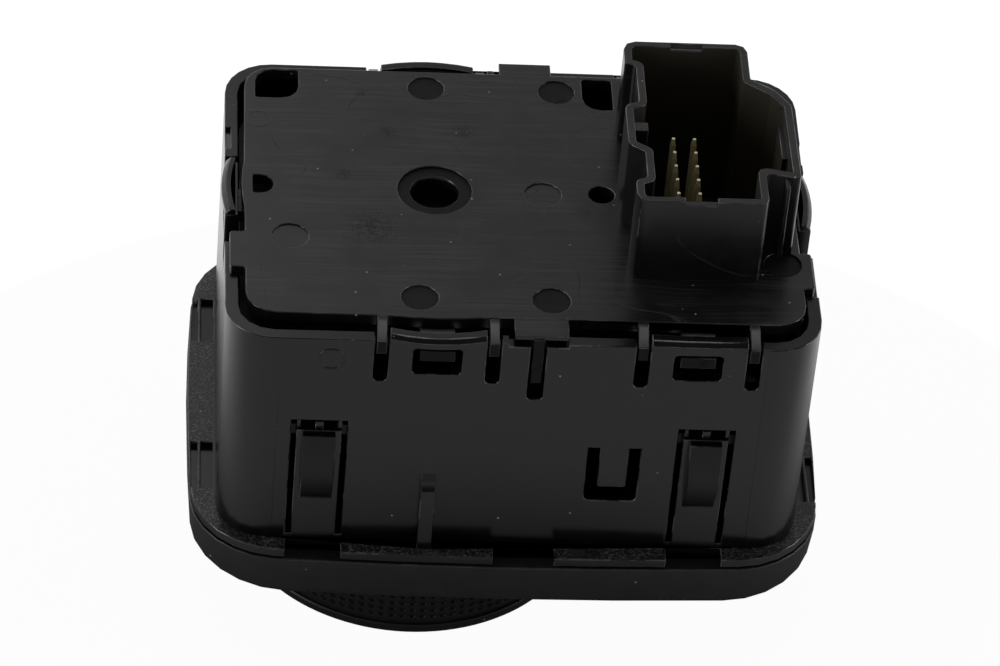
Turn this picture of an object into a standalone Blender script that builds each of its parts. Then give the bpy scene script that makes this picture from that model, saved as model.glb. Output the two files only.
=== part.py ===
# Suspension control switch: a dashboard rotary knob with three push buttons, seen from its connector side.
# Units are metres. +Z points to the rear (connector) side, and the knob's front face stands on Z = 0.
# X = 0 and Y = 0 are the middle of the housing; the knob's axis lies to the left of it.

import math

import bmesh
import bpy
from mathutils import Matrix, Vector

MM = 0.001

# Clearances
SEAT_GAP = 0.3 * MM
RUNNING_GAP = 0.4 * MM

# Levels along Z, from the knob's face to the connector's rim
BEZEL_FACE_Z = 11.4 * MM
BEZEL_DEPTH = 6.2 * MM
FLANGE_THICKNESS = 1.2 * MM
HOUSING_HEIGHT = 32.0 * MM
COVER_STEP = 1.0 * MM
COVER_THICKNESS = 1.6 * MM
SHROUD_HEIGHT = 12.0 * MM

# Bezel, round the knob and the two buttons beside it
KNOB_RADIUS = 22.1 * MM
SIDE_BUTTON_WIDTH = 18.4 * MM
SIDE_BUTTON_HEIGHT = 11.6 * MM
KNOB_MARGIN = 6.4 * MM
KNOB_SIDE_MARGIN = 6.3 * MM
KNOB_TO_BUTTON = 4.4 * MM
BUTTON_SIDE_MARGIN = 4.5 * MM
BUTTON_SPACING = 3.0 * MM
BEZEL_CORNER = 9.5 * MM
BEZEL_BOW = 1.2 * MM
BEZEL_WALL = 2.0 * MM
BEZEL_EDGE_ROUND = 1.2 * MM
BEZEL_DRAFT = 0.3 * MM
BEZEL_FACE_CORNER = 1.6 * MM
FLANGE_STEP_BACK = 0.15 * MM

# Housing walls, inside the flange's edge
FLANGE_REACH_X = 3.6 * MM
FLANGE_REACH_Y = 3.0 * MM
HOUSING_CORNER = 5.8 * MM
HOUSING_WALL = 1.6 * MM
POCKET_LENGTH = 8.0 * MM
POCKET_OFFSET = 13.3 * MM
POCKET_SHIFT = 0.3 * MM
POCKET_DEPTH = 0.8 * MM
POCKET_WIDTHS = (1.5 * MM, 0.8 * MM)
POCKET_RIB = 0.4 * MM

# Latch loops and slots that the rear cover snaps into
LOOP_CENTRES = (-10.3 * MM, 20.45 * MM)
LOOP_PITCH = 13.2 * MM
LOOP_RISE = 0.8 * MM
LOOP_LIP = 1.3 * MM
LOOP_CHAMFER = 0.5 * MM
LOOP_BOWS = (0.8 * MM, 0.15 * MM)
LIP_PROUD = 0.05 * MM
SLOT_WIDTH = 1.7 * MM
SLOT_DEPTH = 6.4 * MM
WINDOW_WIDTH = 5.8 * MM
WINDOW_HEIGHT = 3.9 * MM
WINDOW_TOP = 1.2 * MM
WINDOW_CORNER = 0.5 * MM
SIDE_LOOP_Y = 1.4 * MM
SIDE_LOOP_LENGTH = 9.9 * MM
SIDE_LOOP_BOW = 0.6 * MM
SIDE_LIP_WALL = 1.15 * MM
SIDE_LIP_SETBACK = 0.15 * MM
SIDE_RECESS = (9.0 * MM, 13.0 * MM)
SIDE_SLOT = 1.1 * MM
SIDE_SLOT_FRONT = 3.8 * MM

# T-shaped tabs of the cover, front and back
TAB_X = 1.5 * MM
TAB_BAR = 6.4 * MM
TAB_BAR_HEIGHT = 0.7 * MM
TAB_BAR_SHIFT = 0.3 * MM
TAB_BAR_BACK = 0.3 * MM
TAB_STEM = 1.3 * MM
TAB_STEM_DEPTH = 6.3 * MM
TAB_SLOT_DEPTH = 8.7 * MM

# Panel clips, U slot and locating rib on the housing's walls
CLIP_CENTRES = (-23.6 * MM, 22.5 * MM)
CLIP_WIDTH = 5.4 * MM
CLIP_SLIT = 0.65 * MM
CLIP_TOP_Z = 36.6 * MM
CLIP_TOP_GAP = 1.6 * MM
BARB_WIDTH = 3.9 * MM
BARB_HEIGHT = 2.2 * MM
BARB_LEDGE = 0.9 * MM
BARB_TOP_DROP = 0.2 * MM
BARB_CREST_Z = 31.2 * MM
BARB_FOOT_Z = 25.9 * MM
CLIP_TEETH = 0.55 * MM
CLIP_RIB = 1.0 * MM
U_SLOT_X = 11.75 * MM
U_SLOT_WIDTH = 6.3 * MM
U_SLOT_LEG = 1.4 * MM
U_SLOT_TOP_Z = 34.9 * MM
U_SLOT_FOOT_Z = 26.4 * MM
RIB_X = -10.2 * MM
RIB_WIDTH = 1.8 * MM
RIB_PROUD = 1.5 * MM
RIB_TOP_Z = 30.0 * MM
RIB_SLOPE = 1.6 * MM
FLANGE_NOTCH = 7.4 * MM
FLANGE_NOTCH_X = 1.85 * MM

# Rear cover plate
PLATE_SIDE_GAP = 0.8 * MM
PLATE_EDGE_GAP = 1.9 * MM
PLATE_BOW = 0.45 * MM
PLATE_CORNER = 3.6 * MM
SIDE_TAB_Y = -10.8 * MM
SIDE_TAB_LENGTH = 6.4 * MM
SIDE_TAB_REACH = 1.05 * MM
RIGHT_TAB_SHIFT = 1.3 * MM
CORNER_OPENING = (5.3 * MM, 5.4 * MM)
CORNER_OPENING_INSET = (2.1 * MM, 0.4 * MM)
BEHIND_OPENING = (3.1 * MM, 5.8 * MM)
BEHIND_OPENING_INSET = (11.3 * MM, 6.4 * MM)
D_HOLE_Y = 1.3 * MM
RING_HOLE = (-10.1 * MM, 1.0 * MM)
RING_RADIUS = 4.5 * MM
RING_RECESS = 0.8 * MM
RING_BORE = 2.95 * MM
ROUND_HOLE = (10.1 * MM, 1.0 * MM)
ROUND_HOLE_RADIUS = 1.6 * MM
MARK_RADIUS = 2.25 * MM
MARK_RECESS = 0.2 * MM
MARKS = ((-10.6, 20.4), (5.5, 20.4), (-27.6, -8.2), (3.0, 0.7), (-12.4, -18.7), (3.2, -18.7), (31.2, -11.0))

# Connector shroud, in from the housing's right wall
SHROUD_INSET = 15.3 * MM
SHROUD_Y = 0.7 * MM
SHROUD_WALL = 0.95 * MM
SHROUD_FOOT_GAP = 0.4 * MM
KEY_RIB_REACH = 1.6 * MM
KEY_RIB_WIDTH = 1.55 * MM
KEY_RIB_DROP = 0.9 * MM
LEDGE_REACH = 0.75 * MM
LEDGE_LENGTH = 6.2 * MM
LEDGE_BELOW_RIM = 2.0 * MM
FIN_INSET = 1.4 * MM
FIN_WIDTH = 0.5 * MM
FIN_START = 3.4 * MM
RIM_NOTCH_WIDTH = 3.8 * MM
RIM_NOTCH_DEPTH = 0.6 * MM
RIM_NOTCH_X = 0.2 * MM
PIN_PITCH = 2.54 * MM
PIN_ROWS = 6
PIN_COLUMNS = 2
PIN_SIZE = 0.64 * MM
HEADER_HEIGHT = 2.2 * MM
PIN_FIELD = (-0.375 * MM, -3.51 * MM)
PIN_TIP = 0.9 * MM
PIN_TIP_INSET = 0.14 * MM
PIN_TIP_BELOW_RIM = 5.0 * MM

# Knob, from its rim inwards
KNOB_LENGTH = 15.5 * MM
KNOB_FACE = 3.9 * MM
KNOB_FACE_WIDTH = 8.1 * MM
KNOB_WALL = 2.6 * MM
KNOB_RIM = 1.2 * MM
KNOB_GROOVE = 0.7 * MM
KNOB_GROOVE_DEPTH = 0.5 * MM
KNOB_EDGE = 0.15 * MM
GRIP_STEP = 0.2 * MM
HUB_LEDGE = 1.0 * MM
HUB_WALL = 2.0 * MM
HUB_COLLAR = 1.5 * MM
HUB_PLATE = 1.8 * MM
HUB_SPIGOT_STEP = 0.6 * MM
HUB_END_GAP = 0.4 * MM
COLLAR_HEIGHT = 4.9 * MM
COLLAR_WALL = 1.7 * MM
DETENT_WIDTH = 3.5 * MM
DETENT_HEIGHT = 4.1 * MM
DETENT_COUNT = 24
DETENT_DEPTH = 0.5 * MM
ENCODER_WIDTH = 2.3 * MM
ENCODER_WALL = 0.8 * MM
ENCODER_SKIRT = 7.0 * MM
ENCODER_FLANGE = 1.5 * MM
ENCODER_STANDOFF = 0.6 * MM
ENCODER_SLOTS = 16
ENCODER_SLOT = 2.2 * MM

# Buttons
MODE_CAP_GAP = 0.5 * MM
MODE_CAP_THICKNESS = 2.2 * MM
MODE_CAP_RECESS = 0.6 * MM
MODE_TUBE_LENGTH = 15.0 * MM
MODE_TUBE_WALL = 1.5 * MM
MODE_POST_RADIUS = 2.2 * MM
SIDE_BUTTON_PROUD = 0.8 * MM
SIDE_BUTTON_LIP = 1.0 * MM
SIDE_BUTTON_CORNER = 1.4 * MM
SIDE_BUTTON_EDGE = 0.4 * MM
SIDE_BUTTON_WALL = 1.2 * MM
LIP_REACH = 0.8 * MM
STEM_WIDTH = 5.0 * MM
STEM_HEIGHT = 4.0 * MM
SLEEVE_WALL = 1.3 * MM
GUIDE_WALL = 1.2 * MM

# Inner frame, boards and what stands on them
FRAME_STANDOFF = 15.1 * MM
FRAME_THICKNESS = 1.5 * MM
FRAME_MARGIN = (2.5 * MM, 0.5 * MM)
BOARD_THICKNESS = 1.6 * MM
FRONT_BOARD_GAP = 0.8 * MM
HEADER_ROOM = 3.3 * MM
REAR_BOARD_MARGIN = 3.7 * MM
BOARD_CORNER = 3.0 * MM
BOARD_RIB_WIDTH = 2.0 * MM
BOARD_RIB_REACH = 2.2 * MM
BOARD_RIB_Y = 18.0 * MM
BOARD_NOTCH_GAP = 0.8 * MM
BOSS_INSET = (6.2 * MM, 5.4 * MM)
BOSS_RADIUS = 2.9 * MM
SCREW_RADIUS = 0.9 * MM
SCREW_HEAD_RADIUS = 1.9 * MM
SCREW_HEAD = 1.3 * MM
SCREW_LENGTH = 9.0 * MM
SOCKET_STRIP = (4.0 * MM, 26.0 * MM)
SOCKET_STRIP_X = 6.0 * MM
CHIP_SIZE = 10.0 * MM
CHIP_HEIGHT = 1.6 * MM
CHIP_CENTRE = (-10.0 * MM, -4.0 * MM)
SENSOR_WIDTH = 4.4 * MM
SENSOR_ARM = 1.0 * MM
SENSOR_BRIDGE_GAP = 0.6 * MM
SENSOR_OVERLAP = 3.4 * MM
DOME_RADIUS = 3.6 * MM
DOME_HEIGHT = 4.7 * MM
DOME_WALL = 0.9 * MM
DOME_CROWN = 1.4 * MM
DOME_HEAD_RADIUS = 1.9 * MM
DOME_HOLE_GAP = 0.9 * MM
LED_SIZE = 2.8 * MM
LED_HEIGHT = 0.5 * MM
LED_OFFSET = 6.6 * MM
PLUNGER_RADIUS = 1.5 * MM
PLUNGER_LENGTH = 4.0 * MM
PLUNGER_NOSE = 1.0 * MM
PLUNGER_SEAT = 1.6 * MM
CUP_WALL = 0.9 * MM
CUP_STANDOFF = 1.2 * MM
SPRING_RADIUS = 0.85 * MM
SPRING_WIRE = 0.14 * MM
SPRING_TURNS = 3

# Places that follow from the sizes above
BEZEL_WIDTH = KNOB_SIDE_MARGIN + 2 * KNOB_RADIUS + KNOB_TO_BUTTON + SIDE_BUTTON_WIDTH + BUTTON_SIDE_MARGIN
BEZEL_HEIGHT = 2 * (KNOB_RADIUS + KNOB_MARGIN)
KNOB_X = KNOB_SIDE_MARGIN + KNOB_RADIUS - BEZEL_WIDTH / 2
SIDE_BUTTON_X = BEZEL_WIDTH / 2 - BUTTON_SIDE_MARGIN - SIDE_BUTTON_WIDTH / 2
SIDE_BUTTON_Y = (SIDE_BUTTON_HEIGHT + BUTTON_SPACING) / 2
HOUSING_WIDTH = BEZEL_WIDTH - 2 * FLANGE_REACH_X
HOUSING_DEPTH = BEZEL_HEIGHT - 2 * FLANGE_REACH_Y
WALL_X = HOUSING_WIDTH / 2
WALL_Y = HOUSING_DEPTH / 2
INNER_X = WALL_X - HOUSING_WALL
INNER_Y = WALL_Y - HOUSING_WALL
PLATE_LEFT = PLATE_SIDE_GAP - INNER_X
PLATE_RIGHT = INNER_X - SEAT_GAP
PLATE_FRONT = PLATE_EDGE_GAP - INNER_Y
PLATE_BACK = INNER_Y - SEAT_GAP
SHROUD_X = WALL_X - SHROUD_INSET
BOSS_X = INNER_X - BOSS_INSET[0]
BOSS_Y = INNER_Y - BOSS_INSET[1]

# Levels that follow from the sizes above
SEAM_Z = BEZEL_FACE_Z + BEZEL_DEPTH
FLANGE_Z = SEAM_Z + SEAT_GAP
SEAT_Z = FLANGE_Z + FLANGE_THICKNESS
RIM_Z = SEAT_Z + HOUSING_HEIGHT
COVER_Z = RIM_Z + COVER_STEP
COVER_UNDER_Z = COVER_Z - COVER_THICKNESS
SHROUD_Z = COVER_Z + SHROUD_HEIGHT
SLOT_FOOT_Z = RIM_Z - SLOT_DEPTH
LOOP_Z = RIM_Z + LOOP_RISE
COLLAR_Z = SEAT_Z + COLLAR_HEIGHT
DETENT_Z = COLLAR_Z + SEAT_GAP
DETENT_REAR_Z = DETENT_Z + DETENT_HEIGHT
ENCODER_Z = DETENT_Z + ENCODER_STANDOFF
SKIRT_Z = ENCODER_Z + ENCODER_FLANGE
FRAME_Z = SEAT_Z + FRAME_STANDOFF
FRONT_BOARD_Z = FRAME_Z + FRAME_THICKNESS + FRONT_BOARD_GAP
FRONT_BOARD_REAR_Z = FRONT_BOARD_Z + BOARD_THICKNESS
REAR_BOARD_REAR_Z = COVER_UNDER_Z - HEADER_ROOM
REAR_BOARD_Z = REAR_BOARD_REAR_Z - BOARD_THICKNESS
DOME_Z = FRONT_BOARD_Z - SEAT_GAP - DOME_HEIGHT
STEM_END_Z = DOME_Z - SEAT_GAP
PIN_END_Z = SHROUD_Z - PIN_TIP_BELOW_RIM
SHROUD_FOOT_Z = FRONT_BOARD_REAR_Z + SHROUD_FOOT_GAP

# Radii about the knob's axis, from the rim inwards and out again
KNOB_INNER = KNOB_RADIUS - KNOB_WALL
KNOB_WINDOW = KNOB_RADIUS - KNOB_FACE_WIDTH
HUB_BORE = KNOB_WINDOW - HUB_LEDGE
HUB_RADIUS = HUB_BORE + HUB_WALL
BEARING_BORE = HUB_RADIUS + SEAT_GAP
HUB_SPIGOT = HUB_RADIUS - HUB_SPIGOT_STEP
DETENT_BORE = HUB_SPIGOT + SEAT_GAP
DETENT_RADIUS = DETENT_BORE + DETENT_WIDTH
ENCODER_BORE = DETENT_RADIUS + SEAT_GAP
ENCODER_RADIUS = ENCODER_BORE + ENCODER_WIDTH
PLUNGER_ORBIT = DETENT_BORE + DETENT_WIDTH / 2
GUIDE_RADIUS = HUB_BORE - RUNNING_GAP
MODE_CAP_RADIUS = KNOB_WINDOW - MODE_CAP_GAP

BLACK_NYLON = ((0.020, 0.020, 0.022), 0.34)
BLACK_MATT = ((0.028, 0.028, 0.030), 0.55)
BLACK_SOFT = ((0.024, 0.024, 0.026), 0.62)


# Scene and materials

def clear_scene():
    for item in list(bpy.data.objects):
        bpy.data.objects.remove(item, do_unlink=True)


def new_collection(name):
    collection = bpy.data.collections.new(name)
    bpy.context.scene.collection.children.link(collection)
    return collection


def material(name, colour, roughness, metallic=0.0):
    made = bpy.data.materials.new(name)
    made.use_nodes = True
    shader = made.node_tree.nodes["Principled BSDF"]
    shader.inputs["Base Color"].default_value = (*colour, 1.0)
    shader.inputs["Roughness"].default_value = roughness
    shader.inputs["Metallic"].default_value = metallic
    return made


# Outlines in a plane

def rounded_polygon(corners, segments=3):
    """Outline through (x, y, radius) corners, with an arc where the radius isn't zero."""
    points = []
    for index, (x, y, radius) in enumerate(corners):
        corner = Vector((x, y))
        if radius == 0:
            points.append((x, y))
            continue
        before = (Vector(corners[index - 1][:2]) - corner).normalized()
        after = (Vector(corners[(index + 1) % len(corners)][:2]) - corner).normalized()
        half = before.angle(after) / 2
        centre = corner + (before + after).normalized() * (radius / math.sin(half))
        start = corner + before * (radius / math.tan(half)) - centre
        end = corner + after * (radius / math.tan(half)) - centre
        sweep = math.atan2(start.x * end.y - start.y * end.x, start.dot(end))
        for step in range(segments + 1):
            turned = Matrix.Rotation(sweep * step / segments, 2) @ start
            points.append(tuple(centre + turned))
    return points


def rectangle(width, height, radius=0.0, centre=(0.0, 0.0), segments=3):
    x, y = centre
    half_x, half_y = width / 2, height / 2
    signs = ((-1, -1), (1, -1), (1, 1), (-1, 1))
    return rounded_polygon([(x + a * half_x, y + b * half_y, radius) for a, b in signs], segments)


def circle(radius, centre=(0.0, 0.0), segments=24):
    angles = [2 * math.pi * step / segments for step in range(segments)]
    return [(centre[0] + radius * math.cos(a), centre[1] + radius * math.sin(a)) for a in angles]


def bowed_rectangle(width, height, radius, bow, segments=6, side_steps=4):
    """Rounded rectangle whose sides swell outwards by the bow."""
    half_x, half_y = width / 2 - bow, height / 2 - bow
    arcs = rectangle(2 * half_x, 2 * half_y, radius, segments=segments)
    per_corner = segments + 1
    points = []
    for corner in range(4):
        arc = arcs[corner * per_corner:(corner + 1) * per_corner]
        points += arc
        (x0, y0), (x1, y1) = arc[-1], arcs[(corner + 1) * per_corner % len(arcs)]
        for step in range(1, side_steps):
            share = step / side_steps
            points.append((x0 + (x1 - x0) * share, y0 + (y1 - y0) * share))
    swell_x = [math.copysign(bow * max(0.0, 1 - (y / half_y) ** 2), x) for x, y in points]
    swell_y = [math.copysign(bow * max(0.0, 1 - (x / half_x) ** 2), y) for x, y in points]
    return [(x + dx, y + dy) for (x, y), dx, dy in zip(points, swell_x, swell_y)]


def inset(corners, distance):
    """The same (x, y, radius) corners moved inwards; the outline runs anticlockwise."""
    moved = []
    for index, (x, y, radius) in enumerate(corners):
        corner = Vector((x, y))
        along = (corner - Vector(corners[index - 1][:2])).normalized()
        onward = (Vector(corners[(index + 1) % len(corners)][:2]) - corner).normalized()
        inward_a = Vector((-along.y, along.x))
        inward_b = Vector((-onward.y, onward.x))
        shift = (inward_a + inward_b) * (distance / (1 + inward_a.dot(inward_b)))
        turns_left = along.x * onward.y - along.y * onward.x > 0
        kept = max(radius - distance, 0.15 * MM) if turns_left else radius + distance * 0.5
        moved.append((x + shift.x, y + shift.y, kept if radius else 0.0))
    return moved


# Solids

class Workshop:
    """Makes pieces in one collection, and the tools that cut or extend them in another."""

    def __init__(self):
        self.pieces = new_collection("suspension control switch")
        self.tools = new_collection("tools")

    def add(self, name, mesh, finish, centre=(0.0, 0.0), parent=None):
        """One piece with its origin over the centre, or on its parent's axis."""
        item = bpy.data.objects.new(name, mesh)
        self.pieces.objects.link(item)
        if not mesh.materials:
            mesh.materials.append(finish)
        item.location = (*centre, 0.0)
        item.parent = parent
        return item

    def axis(self, name, centre):
        """Empty on the axis that its children turn about."""
        empty = bpy.data.objects.new(name, None)
        self.pieces.objects.link(empty)
        empty.location = (*centre, 0.0)
        return empty

    def tool(self, name, *meshes):
        """One tool object from meshes that don't touch each other."""
        joined = bmesh.new()
        for mesh in meshes:
            joined.from_mesh(mesh)
        mesh = bpy.data.meshes.new(name)
        joined.to_mesh(mesh)
        joined.free()
        item = bpy.data.objects.new(name, mesh)
        self.tools.objects.link(item)
        item.hide_render = True
        item.display_type = "WIRE"
        return item

    def boolean(self, piece, operation, name, *meshes):
        modifier = piece.modifiers.new(name, "BOOLEAN")
        modifier.operation = operation
        modifier.solver = "EXACT"
        modifier.object = self.tool(f"{piece.name} {name}", *meshes)

    def cut(self, piece, name, *meshes):
        self.boolean(piece, "DIFFERENCE", name, *meshes)

    def join(self, piece, name, *meshes):
        self.boolean(piece, "UNION", name, *meshes)


def prism(outline, low, high, holes=(), axis="Z"):
    """Flat outline extruded from low to high; axis X takes (y, z) points, axis Y takes (x, z) points."""
    curve = bpy.data.curves.new("outline", "CURVE")
    curve.dimensions = "2D"
    curve.fill_mode = "BOTH"
    curve.extrude = (high - low) / 2
    for loop in (outline, *holes):
        spline = curve.splines.new("POLY")
        spline.points.add(len(loop) - 1)
        for point, (x, y) in zip(spline.points, loop):
            point.co = (x, y, 0.0, 1.0)
        spline.use_cyclic_u = True
    guide = bpy.data.objects.new("outline", curve)
    bpy.context.scene.collection.objects.link(guide)
    middle = (low + high) / 2
    if axis == "Z":
        guide.matrix_world = Matrix.Translation((0, 0, middle))
    elif axis == "X":
        turn = Matrix(((0, 0, 1), (1, 0, 0), (0, 1, 0))).to_4x4()
        guide.matrix_world = Matrix.Translation((middle, 0, 0)) @ turn
    else:
        turn = Matrix.Rotation(math.pi / 2, 4, "X")
        guide.matrix_world = Matrix.Translation((0, middle, 0)) @ turn
    return solid_from(guide)


def solid_from(guide):
    """Closed mesh, in world coordinates, of a curve object, which is then removed."""
    bpy.context.view_layer.update()
    evaluated = guide.evaluated_get(bpy.context.evaluated_depsgraph_get())
    mesh = bpy.data.meshes.new_from_object(evaluated)
    mesh.transform(guide.matrix_world)
    welded = bmesh.new()
    welded.from_mesh(mesh)
    bmesh.ops.remove_doubles(welded, verts=welded.verts, dist=0.001 * MM)
    bmesh.ops.recalc_face_normals(welded, faces=welded.faces)
    bmesh.ops.dissolve_limit(welded, angle_limit=math.radians(0.1), verts=welded.verts, edges=welded.edges)
    welded.to_mesh(mesh)
    welded.free()
    bpy.data.objects.remove(guide, do_unlink=True)
    return mesh


def box(x, y, z):
    """Box between the (low, high) pairs of each axis."""
    made = bmesh.new()
    size = [high - low for low, high in (x, y, z)]
    middle = [(high + low) / 2 for low, high in (x, y, z)]
    matrix = Matrix.Translation(middle) @ Matrix.Diagonal((*size, 1.0))
    bmesh.ops.create_cube(made, size=1.0, matrix=matrix)
    mesh = bpy.data.meshes.new("box")
    made.to_mesh(mesh)
    made.free()
    return mesh


def cylinder(radius, low, high, centre=(0.0, 0.0), segments=24):
    made = bmesh.new()
    matrix = Matrix.Translation((*centre, (low + high) / 2))
    bmesh.ops.create_cone(made, cap_ends=True, segments=segments, radius1=radius, radius2=radius,
                          depth=high - low, matrix=matrix)
    mesh = bpy.data.meshes.new("cylinder")
    made.to_mesh(mesh)
    made.free()
    return mesh


def turned(profile, steps=48, smooth_angle=35):
    """Solid turned about Z from a (radius, z) profile that runs down its outer side."""
    made = bmesh.new()
    verts = [made.verts.new((radius, 0.0, z)) for radius, z in profile]
    on_axis = abs(profile[0][0]) < 0.01 * MM
    loop = verts if on_axis else verts + verts[:1]
    for a, b in zip(loop, loop[1:]):
        made.edges.new((a, b))
    mesh = bpy.data.meshes.new("turned")
    made.to_mesh(mesh)
    made.free()
    guide = bpy.data.objects.new("turned", mesh)
    bpy.context.scene.collection.objects.link(guide)
    screw = guide.modifiers.new("turn", "SCREW")
    screw.steps = steps
    screw.render_steps = steps
    screw.use_merge_vertices = True
    screw.merge_threshold = 0.001 * MM
    solid = solid_from(guide)
    solid.shade_smooth()
    solid.set_sharp_from_angle(angle=math.radians(smooth_angle))
    return solid


def mirrored_y(mesh):
    """Copy of a mesh on the other side of the XZ plane."""
    copy = mesh.copy()
    copy.transform(Matrix.Scale(-1, 4, (0, 1, 0)))
    copy.flip_normals()
    return copy


def both_sides(mesh):
    return mesh, mirrored_y(mesh)


# Outer shell

def bezel_outline(step_back=0.0, softer=0.0):
    return bowed_rectangle(BEZEL_WIDTH - 2 * step_back, BEZEL_HEIGHT - 2 * step_back,
                           BEZEL_CORNER - step_back + softer, BEZEL_BOW)


def draft(mesh, level, outline, target):
    """Move the vertices at one level from their outline's points to the target's."""
    for vert in mesh.vertices:
        if abs(vert.co.z - level) < 0.01 * MM:
            nearest = min(range(len(outline)), key=lambda i: math.dist(outline[i], vert.co.xy))
            vert.co.x, vert.co.y = target[nearest]
    return mesh


def button_centres():
    return (SIDE_BUTTON_X, SIDE_BUTTON_Y), (SIDE_BUTTON_X, -SIDE_BUTTON_Y)


def round_front_edge(piece, level, width, segments=3):
    """Round the outer edges that lie at one level, marked by bevel weight."""
    mesh = piece.data
    weights = mesh.attributes.new("bevel_weight_edge", "FLOAT", "EDGE")
    for edge in mesh.edges:
        ends = [mesh.vertices[index].co.z for index in edge.vertices]
        at_level = all(abs(z - level) < 0.01 * MM for z in ends)
        weights.data[edge.index].value = 1.0 if at_level else 0.0
    bevel = piece.modifiers.new("rounded edge", "BEVEL")
    bevel.limit_method = "WEIGHT"
    bevel.width = width
    bevel.segments = segments


def make_bezel(shop):
    finish = material("bezel soft touch", *BLACK_SOFT)
    face = bezel_outline(BEZEL_DRAFT, BEZEL_FACE_CORNER)
    body = draft(prism(bezel_outline(), BEZEL_FACE_Z, SEAM_Z), BEZEL_FACE_Z, bezel_outline(), face)
    bezel = shop.add("front_bezel", body, finish)
    round_front_edge(bezel, BEZEL_FACE_Z, BEZEL_EDGE_ROUND)
    hollow = bowed_rectangle(BEZEL_WIDTH - 2 * BEZEL_WALL, BEZEL_HEIGHT - 2 * BEZEL_WALL,
                             BEZEL_CORNER - BEZEL_WALL + BEZEL_FACE_CORNER, BEZEL_BOW)
    through = (BEZEL_FACE_Z - 1 * MM, BEZEL_FACE_Z + BEZEL_WALL + 1 * MM)
    shop.cut(bezel, "hollow", prism(hollow, BEZEL_FACE_Z + BEZEL_WALL, SEAM_Z + 1 * MM))
    knob_hole = cylinder(KNOB_RADIUS + RUNNING_GAP, *through, (KNOB_X, 0.0), 60)
    hole = (SIDE_BUTTON_WIDTH + 2 * RUNNING_GAP, SIDE_BUTTON_HEIGHT + 2 * RUNNING_GAP)
    button_holes = [prism(rectangle(*hole, SIDE_BUTTON_CORNER + RUNNING_GAP, centre), *through)
                    for centre in button_centres()]
    shop.cut(bezel, "openings", knob_hole, *button_holes)
    return bezel


def barb_profile():
    """(y, z) section of a panel clip's wedge: a ledge, a ramp out to the crest and a slope back."""
    wall = -WALL_Y + 0.3 * MM
    top = CLIP_TOP_Z - BARB_TOP_DROP
    face = -WALL_Y
    foot = face - BARB_HEIGHT / 6
    return [(wall, top), (face - BARB_LEDGE, top), (face - BARB_HEIGHT, BARB_CREST_Z),
            (foot, BARB_FOOT_Z + 0.4 * MM), (foot, BARB_FOOT_Z), (wall, BARB_FOOT_Z)]


def bowed_bar(centre, length, bow, face, thickness):
    """(x, y) outline of a bar on the front side that bows outwards between its ends."""
    steps = 6
    shares = [step / steps * 2 - 1 for step in range(steps + 1)]
    outer = [(centre + s * length / 2, -face - bow * (1 - s * s)) for s in shares]
    inner = [(x, y + thickness) for x, y in reversed(outer)]
    return outer + inner


def bowed_lip(centre, length, bow, face, thickness):
    """Lip over a latch loop, bevelled along its outer edge, which lies on the front side."""
    mesh = prism(bowed_bar(centre, length, bow, face, thickness), LOOP_Z - LOOP_LIP, LOOP_Z)
    parted = bmesh.new()
    parted.from_mesh(mesh)
    bmesh.ops.bisect_plane(parted, geom=[*parted.verts, *parted.edges, *parted.faces],
                           plane_co=(0, 0, LOOP_Z - LOOP_CHAMFER), plane_no=(0, 0, 1))
    for vert in parted.verts:
        share = (vert.co.x - centre) / (length / 2)
        middle = thickness / 2 - face - bow * (1 - share * share)
        if vert.co.z > LOOP_Z - LOOP_CHAMFER / 2 and vert.co.y < middle:
            vert.co.y += LOOP_CHAMFER
    parted.to_mesh(mesh)
    parted.free()
    return mesh


def side_lips():
    """The same lip on the left and right walls."""
    lip = bowed_lip(0.0, SIDE_LOOP_LENGTH - 0.1 * MM, SIDE_LOOP_BOW, WALL_X - SIDE_LIP_SETBACK, SIDE_LIP_WALL)
    made = []
    for side in (-1, 1):
        copy = lip.copy()
        copy.transform(Matrix.Translation((0, SIDE_LOOP_Y, 0)) @ Matrix.Rotation(side * math.pi / 2, 4, "Z"))
        made.append(copy)
    return made


def slot_positions():
    """Slots beside each latch loop on the front and back walls."""
    return [centre + side * LOOP_PITCH / 2 for centre in LOOP_CENTRES for side in (-1, 1)]


def wall_cut(outline, outer=4 * MM):
    """Cut through the front wall for an (x, z) outline."""
    return prism(outline, -WALL_Y - outer, -INNER_Y + 0.2 * MM, axis="Y")


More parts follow.
